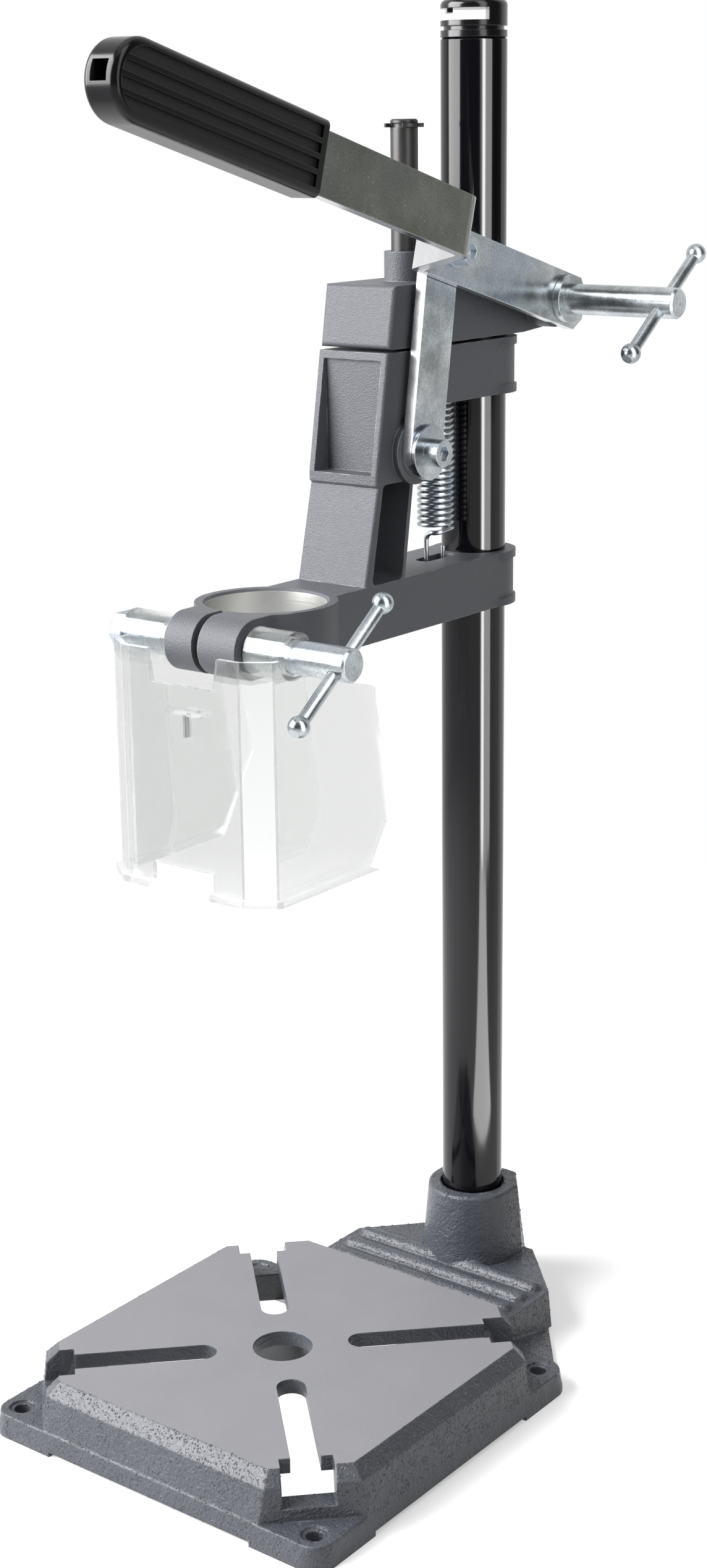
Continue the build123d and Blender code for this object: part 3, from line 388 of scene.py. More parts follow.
@dataclass(frozen=True)
class ZincPlate(Finish):
    """Passivated zinc on steel: a cloudy silver with faint warm and blue tints and a salt of small crystals.

    On a rolled strip, the faces that do not look along X get a painted highlight, near white, on its edges and bends;
    from a given place along X, a painted dark reflection in an olive tint shows.
    """

    bright: str = "#c8cdd0"
    warm: str = "#8e9292"
    cool: str = "#a0a9b4"
    speck: str = "#e4e4dc"
    # painted dark reflection, in an olive tint
    painted_dark_reflection: str = "#62645b"
    # painted highlight, near white, on a strip's edges and bends
    painted_highlight: str = "#e6e6e8"
    rough: float = 0.2
    rough_spread: tuple[float, float] = (-0.03, 0.09)
    cloud: float = 17.0         # width of a cloud
    cloud_span: tuple[float, float] = (0.36, 0.64)  # a cloud's noise where it is all warm and all bright
    tint: float = 33.0          # width of a patch of the cool tint
    tint_span: tuple[float, float] = (0.45, 0.65)   # a patch's noise where it begins and is full
    tint_share: float = 0.7
    salt: float = 0.7           # width of a crystal of the salt
    salt_tone: tuple[float, float] = (0.84, 1.16)   # the salt's share of the colour where dark and where bright
    spot: float = 1.6           # distance between the bright spots
    spot_rim: tuple[float, float] = (0.16, 0.05)    # where a spot begins and is full, in such distances
    spot_share: float = 0.75
    spot_patch: float = 2.6     # width of the patches that hold spots
    spot_span: tuple[float, float] = (0.52, 0.62)   # a patch's noise where spots begin and are full
    depth: float = 0.06         # depth of the salt, and of the lathe's marks
    line: float = 0.5           # width of a lathe mark
    drill: tuple[float, float] = (0.5, 1.2)     # radii of the centre drilling's floor and mouth
    drill_depth: float = 3.0    # its depth, in lathe marks
    strip: bool = False         # a rolled strip whose faces look along X; its other faces get the painted highlight
    painted_reflection_from: float = 0.0          # place along X from which the painted dark reflection shows, 0 for none
    painted_reflection_rise: float = 3.0     # over how far it comes up
    painted_reflection_share: float = 0.85
    painted_highlight_share: float = 0.8     # how far the painted highlight on a strip's edges and bends covers its clouds
    centre: Optional[tuple[float, float]] = None    # Y and Z of the X axis that it was turned about

    def paint(self, tree: Tree, shader: Node, place: Socket) -> None:
        """Clouds of tint, crystal salt and a rolled grain.

        Args:
            tree: The material's tree.
            shader: The Principled shader.
            place: The Object coordinates.
        """
        clouds = add(tree, "ShaderNodeTexNoise", pattern(place, self.cloud, Detail=6.0, Roughness=0.6))
        tints = add(tree, "ShaderNodeTexNoise", pattern(place, self.tint, Detail=2.0))
        share = add(tree, "ShaderNodeMapRange", {0: clouds.outputs[0], 1: self.cloud_span[0], 2: self.cloud_span[1]})
        base = mixed(tree, share.outputs[0], linear(self.warm), linear(self.bright))
        cool = add(tree, "ShaderNodeMapRange", {0: tints.outputs[0], 1: self.tint_span[0], 2: self.tint_span[1],
                                                4: self.tint_share})
        tinted = mixed(tree, cool.outputs[0], base, linear(self.cool))
        split = add(tree, "ShaderNodeSeparateXYZ", {0: place})
        # painted dark reflection in an olive tint, rising from a place along X
        if self.painted_reflection_from:
            painted_reflection_mask = add(tree, "ShaderNodeMapRange", {0: split.outputs[0], 1: self.painted_reflection_from / MM,
                                                     2: (self.painted_reflection_from + self.painted_reflection_rise) / MM, 4: self.painted_reflection_share})
            tinted = mixed(tree, painted_reflection_mask.outputs[0], tinted, linear(self.painted_dark_reflection))
        salt = add(tree, "ShaderNodeTexNoise", pattern(place, self.salt, Detail=2.0))
        grey = add(tree, "ShaderNodeMapRange", {0: salt.outputs[0], 1: NOISE[0], 2: NOISE[1],
                                                3: self.salt_tone[0], 4: self.salt_tone[1]})
        salted = add(tree, "ShaderNodeMix", {0: 1.0, 6: tinted, 7: grey.outputs[0]}, data_type="RGBA",
                     blend_type="MULTIPLY")
        cells = add(tree, "ShaderNodeTexVoronoi", pattern(place, self.spot))
        dots = add(tree, "ShaderNodeMapRange", {0: cells.outputs["Distance"], 1: self.spot_rim[0],
                                                2: self.spot_rim[1], 4: self.spot_share})
        chosen = add(tree, "ShaderNodeTexNoise", pattern(place, self.spot_patch))
        some = add(tree, "ShaderNodeMapRange", {0: chosen.outputs[0], 1: self.spot_span[0], 2: self.spot_span[1]})
        spots = add(tree, "ShaderNodeMath", {0: dots.outputs[0], 1: some.outputs[0]}, operation="MULTIPLY")
        colour = mixed(tree, spots.outputs[0], salted.outputs[2], linear(self.speck))
        # painted highlight on the faces of a strip that do not look along X: its edges and bends
        if self.strip:
            facing = self.facing(tree)
            along = add(tree, "ShaderNodeMath", {0: facing[0]}, operation="ABSOLUTE")
            side = add(tree, "ShaderNodeMapRange", {0: along.outputs[0], 1: SIDEWAYS, 2: SLANTED, 4: self.painted_highlight_share})
            colour = mixed(tree, side.outputs[0], colour, linear(self.painted_highlight))
        rough = add(tree, "ShaderNodeMapRange", {0: clouds.outputs[0], 1: NOISE[0], 2: NOISE[1],
                                                 3: self.rough + self.rough_spread[0],
                                                 4: self.rough + self.rough_spread[1]})
        bump = add(tree, "ShaderNodeBump", {"Strength": 0.2, "Distance": self.depth / MM,
                                            "Height": salt.outputs[0], "Normal": self.rounded(tree)})
        if self.centre:
            bump = self.turned(tree, place, bump.outputs[0])
        feed(tree, shader, {"Base Color": colour, "Roughness": rough.outputs[0], "Metallic": 1.0,
                            "Normal": bump.outputs[0]})

    def turned(self, tree: Tree, place: Socket, normal: Socket) -> Node:
        """Adds the lathe's marks: rings and a centre drilling on an end, fine lines round the barrel.

        Args:
            tree: The material's tree.
            place: The Object coordinates.
            normal: The normal that the marks come on top of.

        Returns:
            The bump node of the marks.
        """
        axis = (0.0, self.centre[0] / MM, self.centre[1] / MM)
        spun = add(tree, "ShaderNodeVectorMath", {0: place, 1: axis}, operation="SUBTRACT")
        split = add(tree, "ShaderNodeSeparateXYZ", {0: spun.outputs[0]})
        across = add(tree, "ShaderNodeCombineXYZ", {0: 0.0, 1: split.outputs[1], 2: split.outputs[2]})
        away = add(tree, "ShaderNodeVectorMath", {0: across.outputs[0]}, operation="LENGTH")
        path = add(tree, "ShaderNodeCombineXYZ", {0: split.outputs[0], 1: away.outputs["Value"], 2: 0.0})
        lines = add(tree, "ShaderNodeTexNoise", pattern(path.outputs[0], self.line, Detail=3.0))
        drilled = add(tree, "ShaderNodeMapRange", {0: away.outputs["Value"], 1: self.drill[0] / MM,
                                                   2: self.drill[1] / MM, 3: -self.drill_depth, 4: 0.0})
        height = add(tree, "ShaderNodeMath", {0: lines.outputs[0], 1: drilled.outputs[0]}, operation="ADD")
        return add(tree, "ShaderNodeBump", {"Strength": 0.5, "Distance": self.depth / MM,
                                            "Height": height.outputs[0], "Normal": normal})


@dataclass(frozen=True)
class MouldedPlastic(Finish):
    """Injection-moulded black plastic: polished outside, and spark-eroded to a dull grain on its gripping faces."""

    coat: str = "#0f0f12"
    shade: str = "#0a0a0c"
    eroded: str = "#19191c"
    cloud: float = 16.0         # width of a cloud in the polish
    cloud_depth: float = 0.06   # how far the cloudy skin waves
    grain: float = 0.45         # width of the spark-eroded grain
    grain_tone: tuple[float, float] = (0.7, 1.35)   # the grain's share of the colour where dark and where bright
    depth: float = 0.12         # depth of the grain
    rough: tuple[float, float] = (0.13, 0.25)
    dull_rough: float = 0.55
    shine: float = 0.5          # specular level
    grip_low: float = 0.0       # the gripping faces look along X between these two places along X
    grip_high: float = 0.0

    def paint(self, tree: Tree, shader: Node, place: Socket) -> None:
        """Polished black, dull and grainy where the hand grips.

        Args:
            tree: The material's tree.
            shader: The Principled shader.
            place: The Object coordinates.
        """
        clouds = add(tree, "ShaderNodeTexNoise", pattern(place, self.cloud, Detail=4.0))
        polished = mixed(tree, clouds.outputs[0], linear(self.shade), linear(self.coat))
        split = add(tree, "ShaderNodeSeparateXYZ", {0: place})
        inner = add(tree, "ShaderNodeMath", {0: split.outputs[0], 1: self.grip_low / MM}, operation="GREATER_THAN")
        outer = add(tree, "ShaderNodeMath", {0: split.outputs[0], 1: self.grip_high / MM}, operation="LESS_THAN")
        facing = self.facing(tree)
        along = add(tree, "ShaderNodeMath", {0: facing[0]}, operation="ABSOLUTE")
        flat = add(tree, "ShaderNodeMath", {0: along.outputs[0], 1: SIDEWAYS}, operation="GREATER_THAN")
        deep = add(tree, "ShaderNodeMath", {0: inner.outputs[0], 1: outer.outputs[0]}, operation="MULTIPLY")
        dull = add(tree, "ShaderNodeMath", {0: deep.outputs[0], 1: flat.outputs[0]}, operation="MULTIPLY").outputs[0]
        grains = add(tree, "ShaderNodeTexNoise", pattern(place, self.grain, Detail=3.0))
        salt = add(tree, "ShaderNodeMapRange", {0: grains.outputs[0], 1: NOISE[0], 2: NOISE[1],
                                                3: self.grain_tone[0], 4: self.grain_tone[1]})
        sparked = add(tree, "ShaderNodeMix", {0: 1.0, 6: linear(self.eroded), 7: salt.outputs[0]}, data_type="RGBA",
                      blend_type="MULTIPLY")
        shine = add(tree, "ShaderNodeMapRange", {0: clouds.outputs[0], 3: self.rough[0], 4: self.rough[1]})
        rough = add(tree, "ShaderNodeMix", {0: dull, 2: shine.outputs[0], 3: self.dull_rough})
        coarse = add(tree, "ShaderNodeBump", {"Strength": 0.8, "Distance": self.depth / MM,
                                              "Height": grains.outputs[0]})
        smooth = add(tree, "ShaderNodeBump", {"Strength": 0.25, "Distance": self.cloud_depth / MM,
                                              "Height": clouds.outputs[0], "Normal": self.rounded(tree)})
        normal = add(tree, "ShaderNodeMix", {0: dull, 4: smooth.outputs[0], 5: coarse.outputs[0]}, data_type="VECTOR")
        feed(tree, shader, {"Base Color": mixed(tree, dull, polished, sparked.outputs[2]),
                            "Roughness": rough.outputs[0], "Specular IOR Level": self.shine,
                            "Normal": normal.outputs[1]})


@dataclass(frozen=True)
class ClearPlastic(Finish):
    """Clear moulded polycarbonate: water-clear faces, with its edges drawn in grey by the light they bend."""

    tint: str = "#e3e6e4"
    body: float = 0.6           # share of the light that the plastic bends; the rest goes straight through
    bend: float = 1.58          # refractive index
    flow: float = 24.0          # width of a flow mark
    depth: float = 0.2          # depth of a flow mark
    rough: float = 0.05

    def paint(self, tree: Tree, shader: Node, place: Socket) -> None:
        """Clear, with faint flow marks of the moulding.

        Args:
            tree: The material's tree.
            shader: The Principled shader.
            place: The Object coordinates.
        """
        flow = add(tree, "ShaderNodeTexNoise", pattern(place, self.flow, Detail=2.0))
        rough = add(tree, "ShaderNodeMapRange", {0: flow.outputs[0], 3: 0.0, 4: self.rough})
        bump = add(tree, "ShaderNodeBump", {"Strength": 0.06, "Distance": self.depth / MM,
                                            "Height": flow.outputs[0]})
        feed(tree, shader, {"Base Color": linear(self.tint), "Roughness": rough.outputs[0], "IOR": self.bend,
                            "Alpha": self.body, "Transmission Weight": 1.0, "Normal": bump.outputs[0]})


class Slot(Enum):
    """The record's material slots, by name."""

    BASE = "base_paint"


class Reach(Enum):
    """Which pieces a lamp lights: all, only those that it names, or all but those."""

    ALL = "ALL"
    ONLY = "INCLUDE"
    NOT = "EXCLUDE"


BASE_PAINT = StructurePaint("structure paint on cast iron")
HEAD_PAINT = HeadCoat("structure coat on die-cast aluminium")
BORED_HEAD = HeadCoat("structure coat with a bored collar", bore=21.5)
COLUMN_ENAMEL = GlossEnamel("gloss black enamel on tube")
OXIDE = OxideSteel("black-oxide steel")
# the lever's bend and edges get the painted highlight, and from 44 mm along X a painted dark reflection
LEVER_ZINC = ZincPlate("passivated zinc on the bent lever strip", strip=True, painted_reflection_from=44.0)
# the link's edges get the painted highlight
LINK_ZINC = ZincPlate("passivated zinc on the link strip", strip=True)
DRAWN_ZINC = ZincPlate("passivated zinc on drawn steel", rough=0.24)
SPINDLE_ZINC = ZincPlate("passivated zinc on the turned spindle", rough=0.24, centre=(150.3, 415.9))
CLAMP_ZINC = ZincPlate("passivated zinc on the turned clamp screw", rough=0.24, centre=(-28.5, 309.55))
LINK_SCREW_ZINC = ZincPlate("passivated zinc on the link's turned screw", rough=0.24, centre=(66.0, 366.4))
PIN_ZINC = ZincPlate("passivated zinc on the lever's turned pin", rough=0.24, centre=(77.12, 437.51))
CAP_PLASTIC = MouldedPlastic("polished black moulding", edge=0.4)
GRIP_PLASTIC = MouldedPlastic("polished and spark-eroded black moulding", edge=0.3, shine=0.25, grip_low=56.3,
                              grip_high=68.6)
CLEAR = ClearPlastic("clear polycarbonate")


def dress(node: str, finish: Finish) -> None:
    """Gives a CAD node its finish.

    Args:
        node: The node's name.
        finish: What it is made of.
    """
    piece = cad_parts[node]
    made = finish.material()
    for place in piece.material_slots:
        place.material = made
    if not piece.material_slots:
        piece.data.materials.append(made)
    log.info("%s: %s", node, finish.name)


@dataclass
class CastGrain:
    """The sand grains that stand out of the base's cast skin, scattered over it by Geometry Nodes."""

    skin: str = "base_plate"
    size: float = 0.45          # half the width of a mean grain, in millimetres
    crowd: float = 0.38         # grains on a square millimetre
    seed: int = 11
    hollow: float = 64.0        # walls nearer than this to the upright axis in X and Y are inside the base
    margin: float = 1.0         # skin this near to the base's sides along X and to its foot stays bare, so no grain leaves its box along X or below
    merge: float = 0.001        # corners nearer than this are one
    sink: float = -0.6          # height in a unit ball under which it is cut away
    least: tuple[float, float, float] = (0.5, 0.5, 0.12)    # a grain's least length, width and height, in sizes
    most: tuple[float, float, float] = (1.5, 1.2, 0.32)     # and its greatest
    lean: float = 0.12          # how far a grain may lean, in radians

    def outside(self) -> bpy.types.Mesh:
        """Copies the base's cast outside, merged, without its milled plate and its hollow.

        Returns:
            The faces that carry grain.
        """
        copied = bmesh.new()
        copied.from_mesh(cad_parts[self.skin].data)
        bmesh.ops.remove_doubles(copied, verts=copied.verts, dist=self.merge / MM)
        bare = []
        for face in copied.faces:
            middle, way = face.calc_center_median(), face.normal
            milled = way.z > UPWARD and abs(middle.z * MM - MILLED_LEVEL) < LEVEL_BAND
            reach = max(abs(middle.x), abs(middle.y)) * MM
            inside = way.z < WALL and (way.x * middle.x + way.y * middle.y <= 0 or reach < self.hollow)
            if milled or inside or way.z < -WALL:
                bare.append(face)
        bmesh.ops.delete(copied, geom=bare, context="FACES")
        made = bpy.data.meshes.new("cast skin")
        copied.to_mesh(made)
        copied.free()
        return made

    def tree(self, finish: bpy.types.Material) -> Tree:
        """Builds the node tree that scatters half-sunk grains over a surface.

        Args:
            finish: The grains' material.

        Returns:
            The tree, with its sizes as named inputs.
        """
        made = bpy.data.node_groups.new("cast grain", "GeometryNodeTree")
        made.interface.new_socket("Geometry", in_out="INPUT", socket_type="NodeSocketGeometry")
        for name in ("Grain size", "Grains per square metre", "Half width", "Foot"):
            made.interface.new_socket(name, in_out="INPUT", socket_type="NodeSocketFloat")
        made.interface.new_socket("Seed", in_out="INPUT", socket_type="NodeSocketInt")
        made.interface.new_socket("Geometry", in_out="OUTPUT", socket_type="NodeSocketGeometry")
        given = add(made, "NodeGroupInput").outputs
        points = add(made, "GeometryNodeDistributePointsOnFaces", {
            "Mesh": given["Geometry"], "Density": given["Grains per square metre"], "Seed": given["Seed"]})
        spot = add(made, "ShaderNodeSeparateXYZ", {0: add(made, "GeometryNodeInputPosition").outputs[0]})
        side = add(made, "ShaderNodeMath", {0: spot.outputs[0]}, operation="ABSOLUTE")
        wide = add(made, "ShaderNodeMath", {0: side.outputs[0], 1: given["Half width"]}, operation="GREATER_THAN")
        low = add(made, "ShaderNodeMath", {0: spot.outputs[2], 1: given["Foot"]}, operation="LESS_THAN")
        outer = add(made, "ShaderNodeMath", {0: wide.outputs[0], 1: low.outputs[0]}, operation="MAXIMUM")
        kept = add(made, "GeometryNodeDeleteGeometry", {"Geometry": points.outputs["Points"],
                                                        "Selection": outer.outputs[0]})
        ball = add(made, "GeometryNodeMeshIcoSphere", {"Radius": 1.0, "Subdivisions": 1})
        height = add(made, "ShaderNodeSeparateXYZ", {0: add(made, "GeometryNodeInputPosition").outputs[0]})
        sunk = add(made, "ShaderNodeMath", {0: height.outputs[2], 1: self.sink}, operation="LESS_THAN")
        dome = add(made, "GeometryNodeDeleteGeometry", {"Geometry": ball.outputs[0], "Selection": sunk.outputs[0]})
        form = add(made, "FunctionNodeRandomValue", {0: self.least, 1: self.most, "Seed": given["Seed"]},
                   data_type="FLOAT_VECTOR")
        scaled = add(made, "ShaderNodeVectorMath", {0: form.outputs[0], "Scale": given["Grain size"]},
                     operation="SCALE")
        spin = add(made, "FunctionNodeRandomValue", {0: (0.0, 0.0, 0.0), 1: (self.lean, self.lean, math.tau),
                                                     "Seed": given["Seed"]}, data_type="FLOAT_VECTOR")
        turned = add(made, "FunctionNodeRotateRotation", {0: points.outputs["Rotation"], 1: spin.outputs[0]},
                     rotation_space="LOCAL")
        placed = add(made, "GeometryNodeInstanceOnPoints", {
            "Points": kept.outputs[0], "Instance": dome.outputs[0], "Rotation": turned.outputs[0],
            "Scale": scaled.outputs[0]})
        real = add(made, "GeometryNodeRealizeInstances", {"Geometry": placed.outputs[0]})
        smooth = add(made, "GeometryNodeSetShadeSmooth", {"Geometry": real.outputs[0]})
        coated = add(made, "GeometryNodeSetMaterial", {"Geometry": smooth.outputs[0], "Material": finish})
        add(made, "NodeGroupOutput", {"Geometry": coated.outputs[0]})
        return made

    def build(self, name: str, finish: Finish, slot: Slot) -> bpy.types.Object:
        """Scatters the grains and keeps them as one plain mesh on the base's body.

        Args:
            name: The piece's name.
            finish: What the grains are made of.
            slot: Not used.

        Returns:
            The piece.
        """
        piece = bpy.data.objects.new(name, self.outside())
        bpy.context.scene.collection.objects.link(piece)
        tree = self.tree(finish.material())
        half_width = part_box(self.skin)[1].x - self.margin / MM
        sizes = {"Grain size": self.size / MM, "Grains per square metre": self.crowd * MM ** 2,
                 "Seed": self.seed, "Half width": half_width, "Foot": self.margin / MM}
        scatter = piece.modifiers.new("cast grain", "NODES")
        scatter.node_group = tree
        for socket in tree.interface.items_tree:
            if socket.in_out == "INPUT" and socket.name in sizes:
                scatter[socket.identifier] = sizes[socket.name]
        shown = piece.evaluated_get(bpy.context.evaluated_depsgraph_get())
        plain = bpy.data.meshes.new_from_object(shown)
        piece.modifiers.clear()
        piece.data = plain
        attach(piece, "stand")
        log.info("%s: %d triangles", name, sum(len(face.vertices) - 2 for face in plain.polygons))
        return piece


@dataclass
class SubAssembly:
    """A group of pieces that is dressed together."""

    finishes: dict[str, Finish] = field(default_factory=dict)

    def build(self) -> None:
        """Dresses the CAD nodes and makes the group's own pieces."""
        for node, finish in self.finishes.items():
            dress(node, finish)


@dataclass
class Base(SubAssembly):
    """The cast base."""

    finishes: dict[str, Finish] = field(default_factory=lambda: {
        "base_plate": BASE_PAINT, "column_set_screw": OXIDE})
    grain: CastGrain = field(default_factory=CastGrain)

    def build(self) -> None:
        """Dresses the base and scatters its cast grain."""
        super().build()
        self.grain.build("cast_grain", BASE_PAINT, Slot.BASE)


@dataclass
class Column(SubAssembly):
    """The column and its cap."""

    finishes: dict[str, Finish] = field(default_factory=lambda: {
        "column_tube": COLUMN_ENAMEL, "column_cap": CAP_PLASTIC})


@dataclass
class Heads(SubAssembly):
    """The height bracket, the carriage with its guide rod, and the return spring."""

    finishes: dict[str, Finish] = field(default_factory=lambda: {
        "height_bracket": HEAD_PAINT, "carriage": BORED_HEAD, "guide_rod": OXIDE, "rod_stop_ring": OXIDE,
        "return_spring": DRAWN_ZINC})


@dataclass
class LeverWork(SubAssembly):
    """The lever, its grip, the link and their screws."""

    finishes: dict[str, Finish] = field(default_factory=lambda: {
        "lever_bar": LEVER_ZINC, "link_bar": LINK_ZINC, "link_screw": LINK_SCREW_ZINC, "link_washer": LINK_SCREW_ZINC,
        "lever_pin": PIN_ZINC, "pin_washer": PIN_ZINC, "lever_grip": GRIP_PLASTIC})


@dataclass
class ClampScrews(SubAssembly):
    """The two clamp screws with their tommy bars, nuts and washers."""

    finishes: dict[str, Finish] = field(default_factory=lambda: {
        "upper_clamp_screw": SPINDLE_ZINC, "spindle_washers": SPINDLE_ZINC, "bracket_nut": SPINDLE_ZINC,
        "upper_tommy_bar": DRAWN_ZINC, "lower_clamp_screw": CLAMP_ZINC, "clamp_spacers": CLAMP_ZINC,
        "clamp_nut": CLAMP_ZINC, "lower_tommy_bar": DRAWN_ZINC})


@dataclass
class ChipGuard(SubAssembly):
    """The clear guard and its hinge pin."""

    finishes: dict[str, Finish] = field(default_factory=lambda: {
        "chip_guard": CLEAR, "guard_pin": OXIDE})


PLATED = (
    "lever_bar", "link_bar", "link_screw", "link_washer", "lever_pin", "pin_washer", "upper_clamp_screw",
    "spindle_washers", "bracket_nut", "upper_tommy_bar", "lower_clamp_screw", "clamp_spacers", "clamp_nut",
    "lower_tommy_bar", "return_spring",
)


@dataclass(frozen=True)
class Lamp:
    """A soft box. It lights everything, or shows only as a reflection."""

    name: str
    spot: tuple[float, float, float]
    aim: tuple[float, float, float]     # the point that it faces
    width: float
    tall: float
    radiance: float                     # brightness of its face, where 1 is white
    only_shine: bool = False            # seen in gloss and metal, with no light of its own on dull surfaces
    turn: float = 0.0                   # degrees that a box lying flat is turned about the upright
    reach: Reach = Reach.ALL
    named: tuple[str, ...] = ()         # the CAD nodes that its reach is about

    def place(self) -> None:
        """Adds the lamp, unseen by the camera itself."""
        data = bpy.data.lights.new(self.name, "AREA")
        data.shape = "RECTANGLE"
        data.size = self.width
        data.size_y = self.tall
        data.energy = self.radiance * math.pi * self.width * self.tall
        lamp = bpy.data.objects.new(self.name, data)
        away = Vector(self.spot) - Vector(self.aim)
        facing = away.to_track_quat("Z", "Y").to_matrix().to_4x4()
        spun = Matrix.Rotation(math.radians(self.turn), 4, "Z")
        lamp.matrix_world = Matrix.Translation(self.spot) @ spun @ facing
        lamp.visible_camera = False
        lamp.visible_diffuse = not self.only_shine
        bpy.context.scene.collection.objects.link(lamp)
        if self.reach is not Reach.ALL:
            chosen = bpy.data.collections.new(self.name)
            for node in self.named:
                chosen.objects.link(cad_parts[node])
            for item in chosen.collection_objects:
                item.light_linking.link_state = self.reach.value
            lamp.light_linking.receiver_collection = chosen


@dataclass
class Studio:
    """The camera of the photograph, a white sweep and the soft boxes."""

    spot: tuple[float, float, float] = (0.53154, -0.63699, 0.48526)
    azimuth: float = 37.766
    elevation: float = 15.697
    roll: float = -0.719
    lens: float = 54.77
    sensor: float = 36.0
    room: float = 0.10      # brightness of the unlit room behind the camera
    wall: float = 1.0       # brightness of the white sweep behind the stand
    fill: float = 0.2       # share of the sweep's light that falls on dull surfaces
    bent: float = 0.62      # least brightness that the clear guard's bent light meets
    bounce: str = "#8c8c8c"     # the floor as dull surfaces are lit by it
    near_clip: float = 0.01
    ramp: float = 0.5       # how far round the sweep has turned to full white, as a cosine
    floor_half: float = 3.0
    paper: str = "#e4e4e4"      # the floor as it is seen
    glow_near: float = 0.3      # distances between which the floor's own glow rises from its least to full
    glow_far: float = 1.1
    glow_least: float = 0.36
    blank_near: float = 0.32    # distances between which the lit floor turns into plain white
    blank_far: float = 0.75
    under: float = 0.066    # half the side of the ground under the base that glows full white, a painted light where the base's shadow falls, seen through the slots
    painted_shade_hub: tuple[float, float, float] = (-0.031, 0.038, 0.0)  # the ground behind the centre hole, left without glow as a painted shade
    painted_shade_hub_radius: float = 0.017
    lamps: tuple[Lamp, ...] = (
        Lamp("right box", (0.62, -0.15, 0.70), (0.0, 0.05, 0.30), 0.30, 1.0, 3.2),
        Lamp("left box", (-0.78, -0.90, 0.94), (0.0, 0.05, 0.36), 1.3, 1.25, 13.5, reach=Reach.NOT,
             named=PLATED),
        Lamp("left soft box", (-0.78, -0.90, 0.94), (0.0, 0.05, 0.36), 1.3, 1.25, 5.5,
             reach=Reach.ONLY, named=PLATED),
        Lamp("plated strip", (0.605, -0.053, 0.66), (0.0, 0.128, 0.66), 0.34, 1.32, 3.0, only_shine=True,
             reach=Reach.ONLY, named=PLATED),
        Lamp("top box", (0.2, -0.2, 2.0), (0.0, 0.05, 0.0), 1.3, 1.3, 1.25),
        Lamp("column strip", (0.582, -0.086, 0.66), (0.0, 0.128, 0.66), 0.10, 1.32, 26.0, only_shine=True,
             reach=Reach.ONLY, named=("column_tube",)),
        Lamp("column glow", (0.612, 0.029, 0.66), (0.0, 0.128, 0.66), 0.42, 1.32, 9.0, only_shine=True,
             reach=Reach.ONLY, named=("column_tube",)),
        Lamp("floor strip", (0.356, 0.021, 0.003), (0.356, 0.021, 1.0), 0.42, 0.24, 12.0, only_shine=True, turn=-16.7,
             reach=Reach.ONLY, named=("column_tube",)),
    )

    def camera(self) -> None:
        """Sets the camera where the photograph was taken."""
        az, el, roll = (math.radians(v) for v in (self.azimuth, self.elevation, self.roll))
        back = Vector((math.sin(az) * math.cos(el), -math.cos(az) * math.cos(el), math.sin(el)))
        right = Vector((math.cos(az), math.sin(az), 0.0))
        up = back.cross(right)
        across = math.cos(roll) * right + math.sin(roll) * up
        upright = math.cos(roll) * up - math.sin(roll) * right
        data = bpy.data.cameras.new("camera")
        data.sensor_fit = "VERTICAL"
        data.sensor_height = self.sensor
        data.lens = self.lens
        data.clip_start = self.near_clip
        seen = bpy.data.objects.new("camera", data)
        seen.matrix_world = Matrix.Translation(self.spot) @ Matrix((across, upright, back)).transposed().to_4x4()
        bpy.context.scene.collection.objects.link(seen)
        bpy.context.scene.camera = seen

    def world(self) -> None:
        """White behind the stand, for the camera on every side, and else an unlit room."""
        made = bpy.data.worlds.new("studio")
        made.use_nodes = True
        tree = made.node_tree
        tree.nodes.clear()
        path = add(tree, "ShaderNodeLightPath")
        az = math.radians(self.azimuth)
        way = add(tree, "ShaderNodeTexCoord").outputs["Generated"]
        depth = add(tree, "ShaderNodeVectorMath", {0: way, 1: (-math.sin(az), math.cos(az), 0.0)},
                    operation="DOT_PRODUCT")
        room = add(tree, "ShaderNodeMapRange", {0: depth.outputs["Value"], 1: 0.0, 2: self.ramp, 3: self.room,
                                                4: self.wall}, interpolation_type="SMOOTHSTEP")
        dim = add(tree, "ShaderNodeMix", {0: path.outputs["Is Diffuse Ray"], 2: 1.0, 3: self.fill})
        dull = add(tree, "ShaderNodeMath", {0: room.outputs[0], 1: dim.outputs[0]}, operation="MULTIPLY")
        lifted = add(tree, "ShaderNodeMath", {0: dull.outputs[0], 1: self.bent}, operation="MAXIMUM")
        bent = add(tree, "ShaderNodeMix", {0: path.outputs["Is Transmission Ray"], 2: dull.outputs[0],
                                           3: lifted.outputs[0]})
        level = add(tree, "ShaderNodeMix", {0: path.outputs["Is Camera Ray"], 2: bent.outputs[0], 3: 1.0})
        shade = add(tree, "ShaderNodeBackground", {"Color": WHITE, "Strength": level.outputs[0]})
        add(tree, "ShaderNodeOutputWorld", {"Surface": shade.outputs[0]})
        bpy.context.scene.world = made

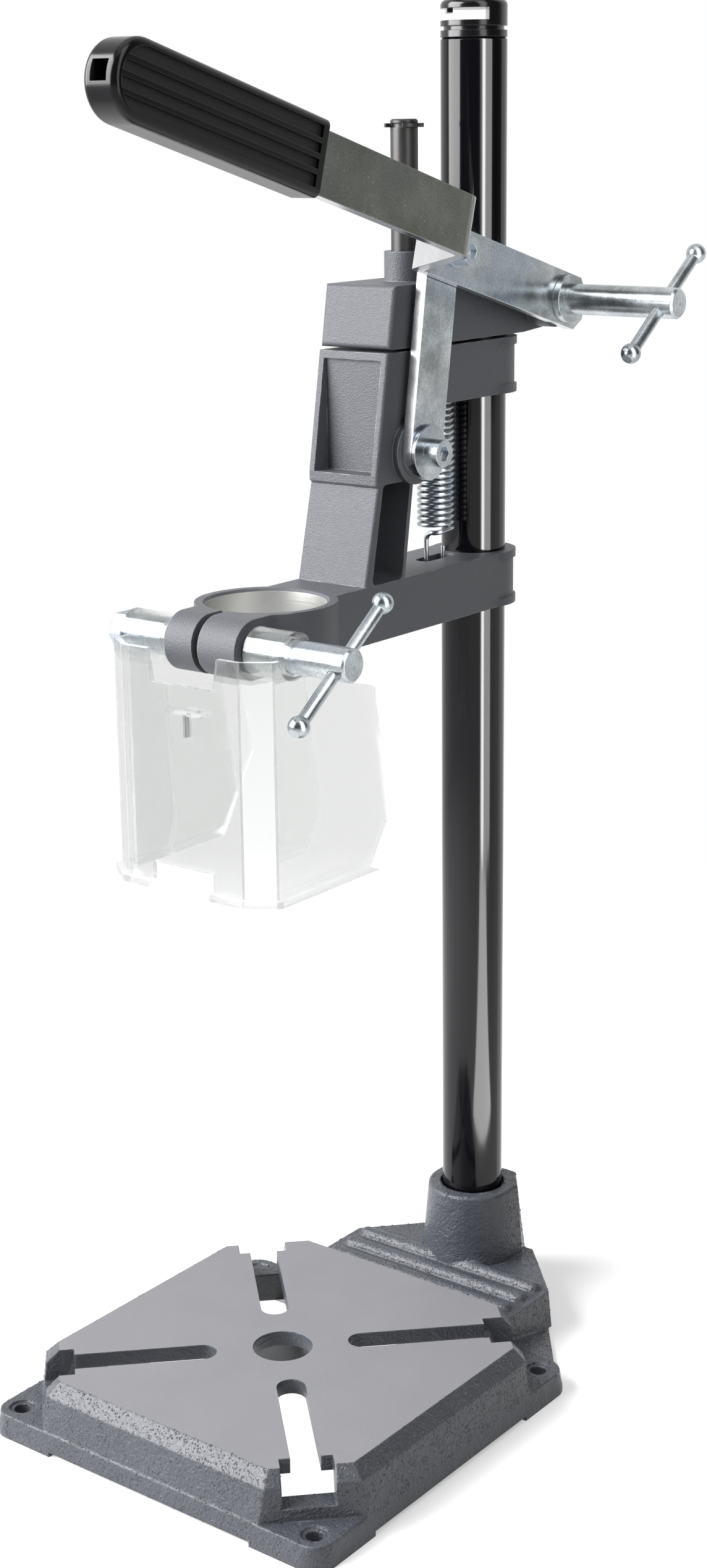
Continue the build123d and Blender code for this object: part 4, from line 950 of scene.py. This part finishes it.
    def floor(self) -> None:
        """A white floor that keeps the stand's soft shadow, but with painted light under the base and painted shade
        behind its centre hole.
        """
        half = self.floor_half
        mesh = bpy.data.meshes.new("floor")
        mesh.from_pydata([(-half, -half, 0.0), (half, -half, 0.0), (half, half, 0.0), (-half, half, 0.0)], [],
                         [(0, 1, 2, 3)])
        ground = bpy.data.objects.new("floor", mesh)
        bpy.context.scene.collection.objects.link(ground)
        made = bpy.data.materials.new("white paper")
        made.use_nodes = True
        tree = made.node_tree
        tree.nodes.clear()
        path = add(tree, "ShaderNodeLightPath")
        seen = add(tree, "ShaderNodeMath", {0: path.outputs["Is Camera Ray"],
                                            1: path.outputs["Is Transmission Ray"]}, operation="MAXIMUM")
        seen = add(tree, "ShaderNodeMath", {0: seen.outputs[0], 1: path.outputs["Is Glossy Ray"]}, operation="MAXIMUM")
        place = add(tree, "ShaderNodeTexCoord").outputs["Object"]
        away = add(tree, "ShaderNodeVectorMath", {0: place}, operation="LENGTH")
        glow = add(tree, "ShaderNodeMapRange", {0: away.outputs["Value"], 1: self.glow_near, 2: self.glow_far,
                                                3: self.glow_least, 4: 1.0})
        square = add(tree, "ShaderNodeVectorMath", {0: place}, operation="ABSOLUTE")
        sides = add(tree, "ShaderNodeSeparateXYZ", {0: square.outputs[0]})
        side = add(tree, "ShaderNodeMath", {0: sides.outputs[0], 1: sides.outputs[1]}, operation="MAXIMUM")
        # painted light: the ground under the base glows full white where its shadow falls
        under = add(tree, "ShaderNodeMath", {0: side.outputs[0], 1: self.under}, operation="LESS_THAN")
        # painted shade: no glow on a disc of ground behind the centre hole
        painted_shade_hub = add(tree, "ShaderNodeVectorMath", {0: place, 1: self.painted_shade_hub}, operation="DISTANCE")
        dark = add(tree, "ShaderNodeMath", {0: painted_shade_hub.outputs["Value"], 1: self.painted_shade_hub_radius}, operation="LESS_THAN")
        bright = add(tree, "ShaderNodeMix", {0: under.outputs[0], 2: glow.outputs[0], 3: 1.0})
        shown = add(tree, "ShaderNodeMix", {0: dark.outputs[0], 2: bright.outputs[0], 3: 0.0})
        paper = add(tree, "ShaderNodeBsdfDiffuse", {"Color": linear(self.paper)})
        table = add(tree, "ShaderNodeBsdfDiffuse", {"Color": linear(self.bounce)})
        white = add(tree, "ShaderNodeEmission", {"Color": WHITE, "Strength": shown.outputs[0]})
        lit = add(tree, "ShaderNodeAddShader", {0: paper.outputs[0], 1: white.outputs[0]})
        blank = add(tree, "ShaderNodeEmission", {"Color": WHITE, "Strength": 1.0})
        far = add(tree, "ShaderNodeMapRange", {0: away.outputs["Value"], 1: self.blank_near, 2: self.blank_far})
        ground_seen = add(tree, "ShaderNodeMixShader", {0: far.outputs[0], 1: lit.outputs[0], 2: blank.outputs[0]})
        whole = add(tree, "ShaderNodeMixShader", {0: seen.outputs[0], 1: table.outputs[0], 2: ground_seen.outputs[0]})
        add(tree, "ShaderNodeOutputMaterial", {"Surface": whole.outputs[0]})
        mesh.materials.append(made)

    def build(self) -> None:
        """Sets the camera, the world, the floor and the lamps."""
        self.camera()
        self.world()
        self.floor()
        for lamp in self.lamps:
            lamp.place()
        bpy.context.scene.view_settings.view_transform = "Standard"


def main() -> None:
    """Builds the studio and every sub-assembly."""
    logging.basicConfig(level=logging.INFO, format="%(message)s")
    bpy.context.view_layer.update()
    Studio().build()
    for part in (Base(), Column(), Heads(), LeverWork(), ClampScrews(), ChipGuard()):
        part.build()
        log.info("%s done", type(part).__name__)


if __name__ == "__main__":
    main()
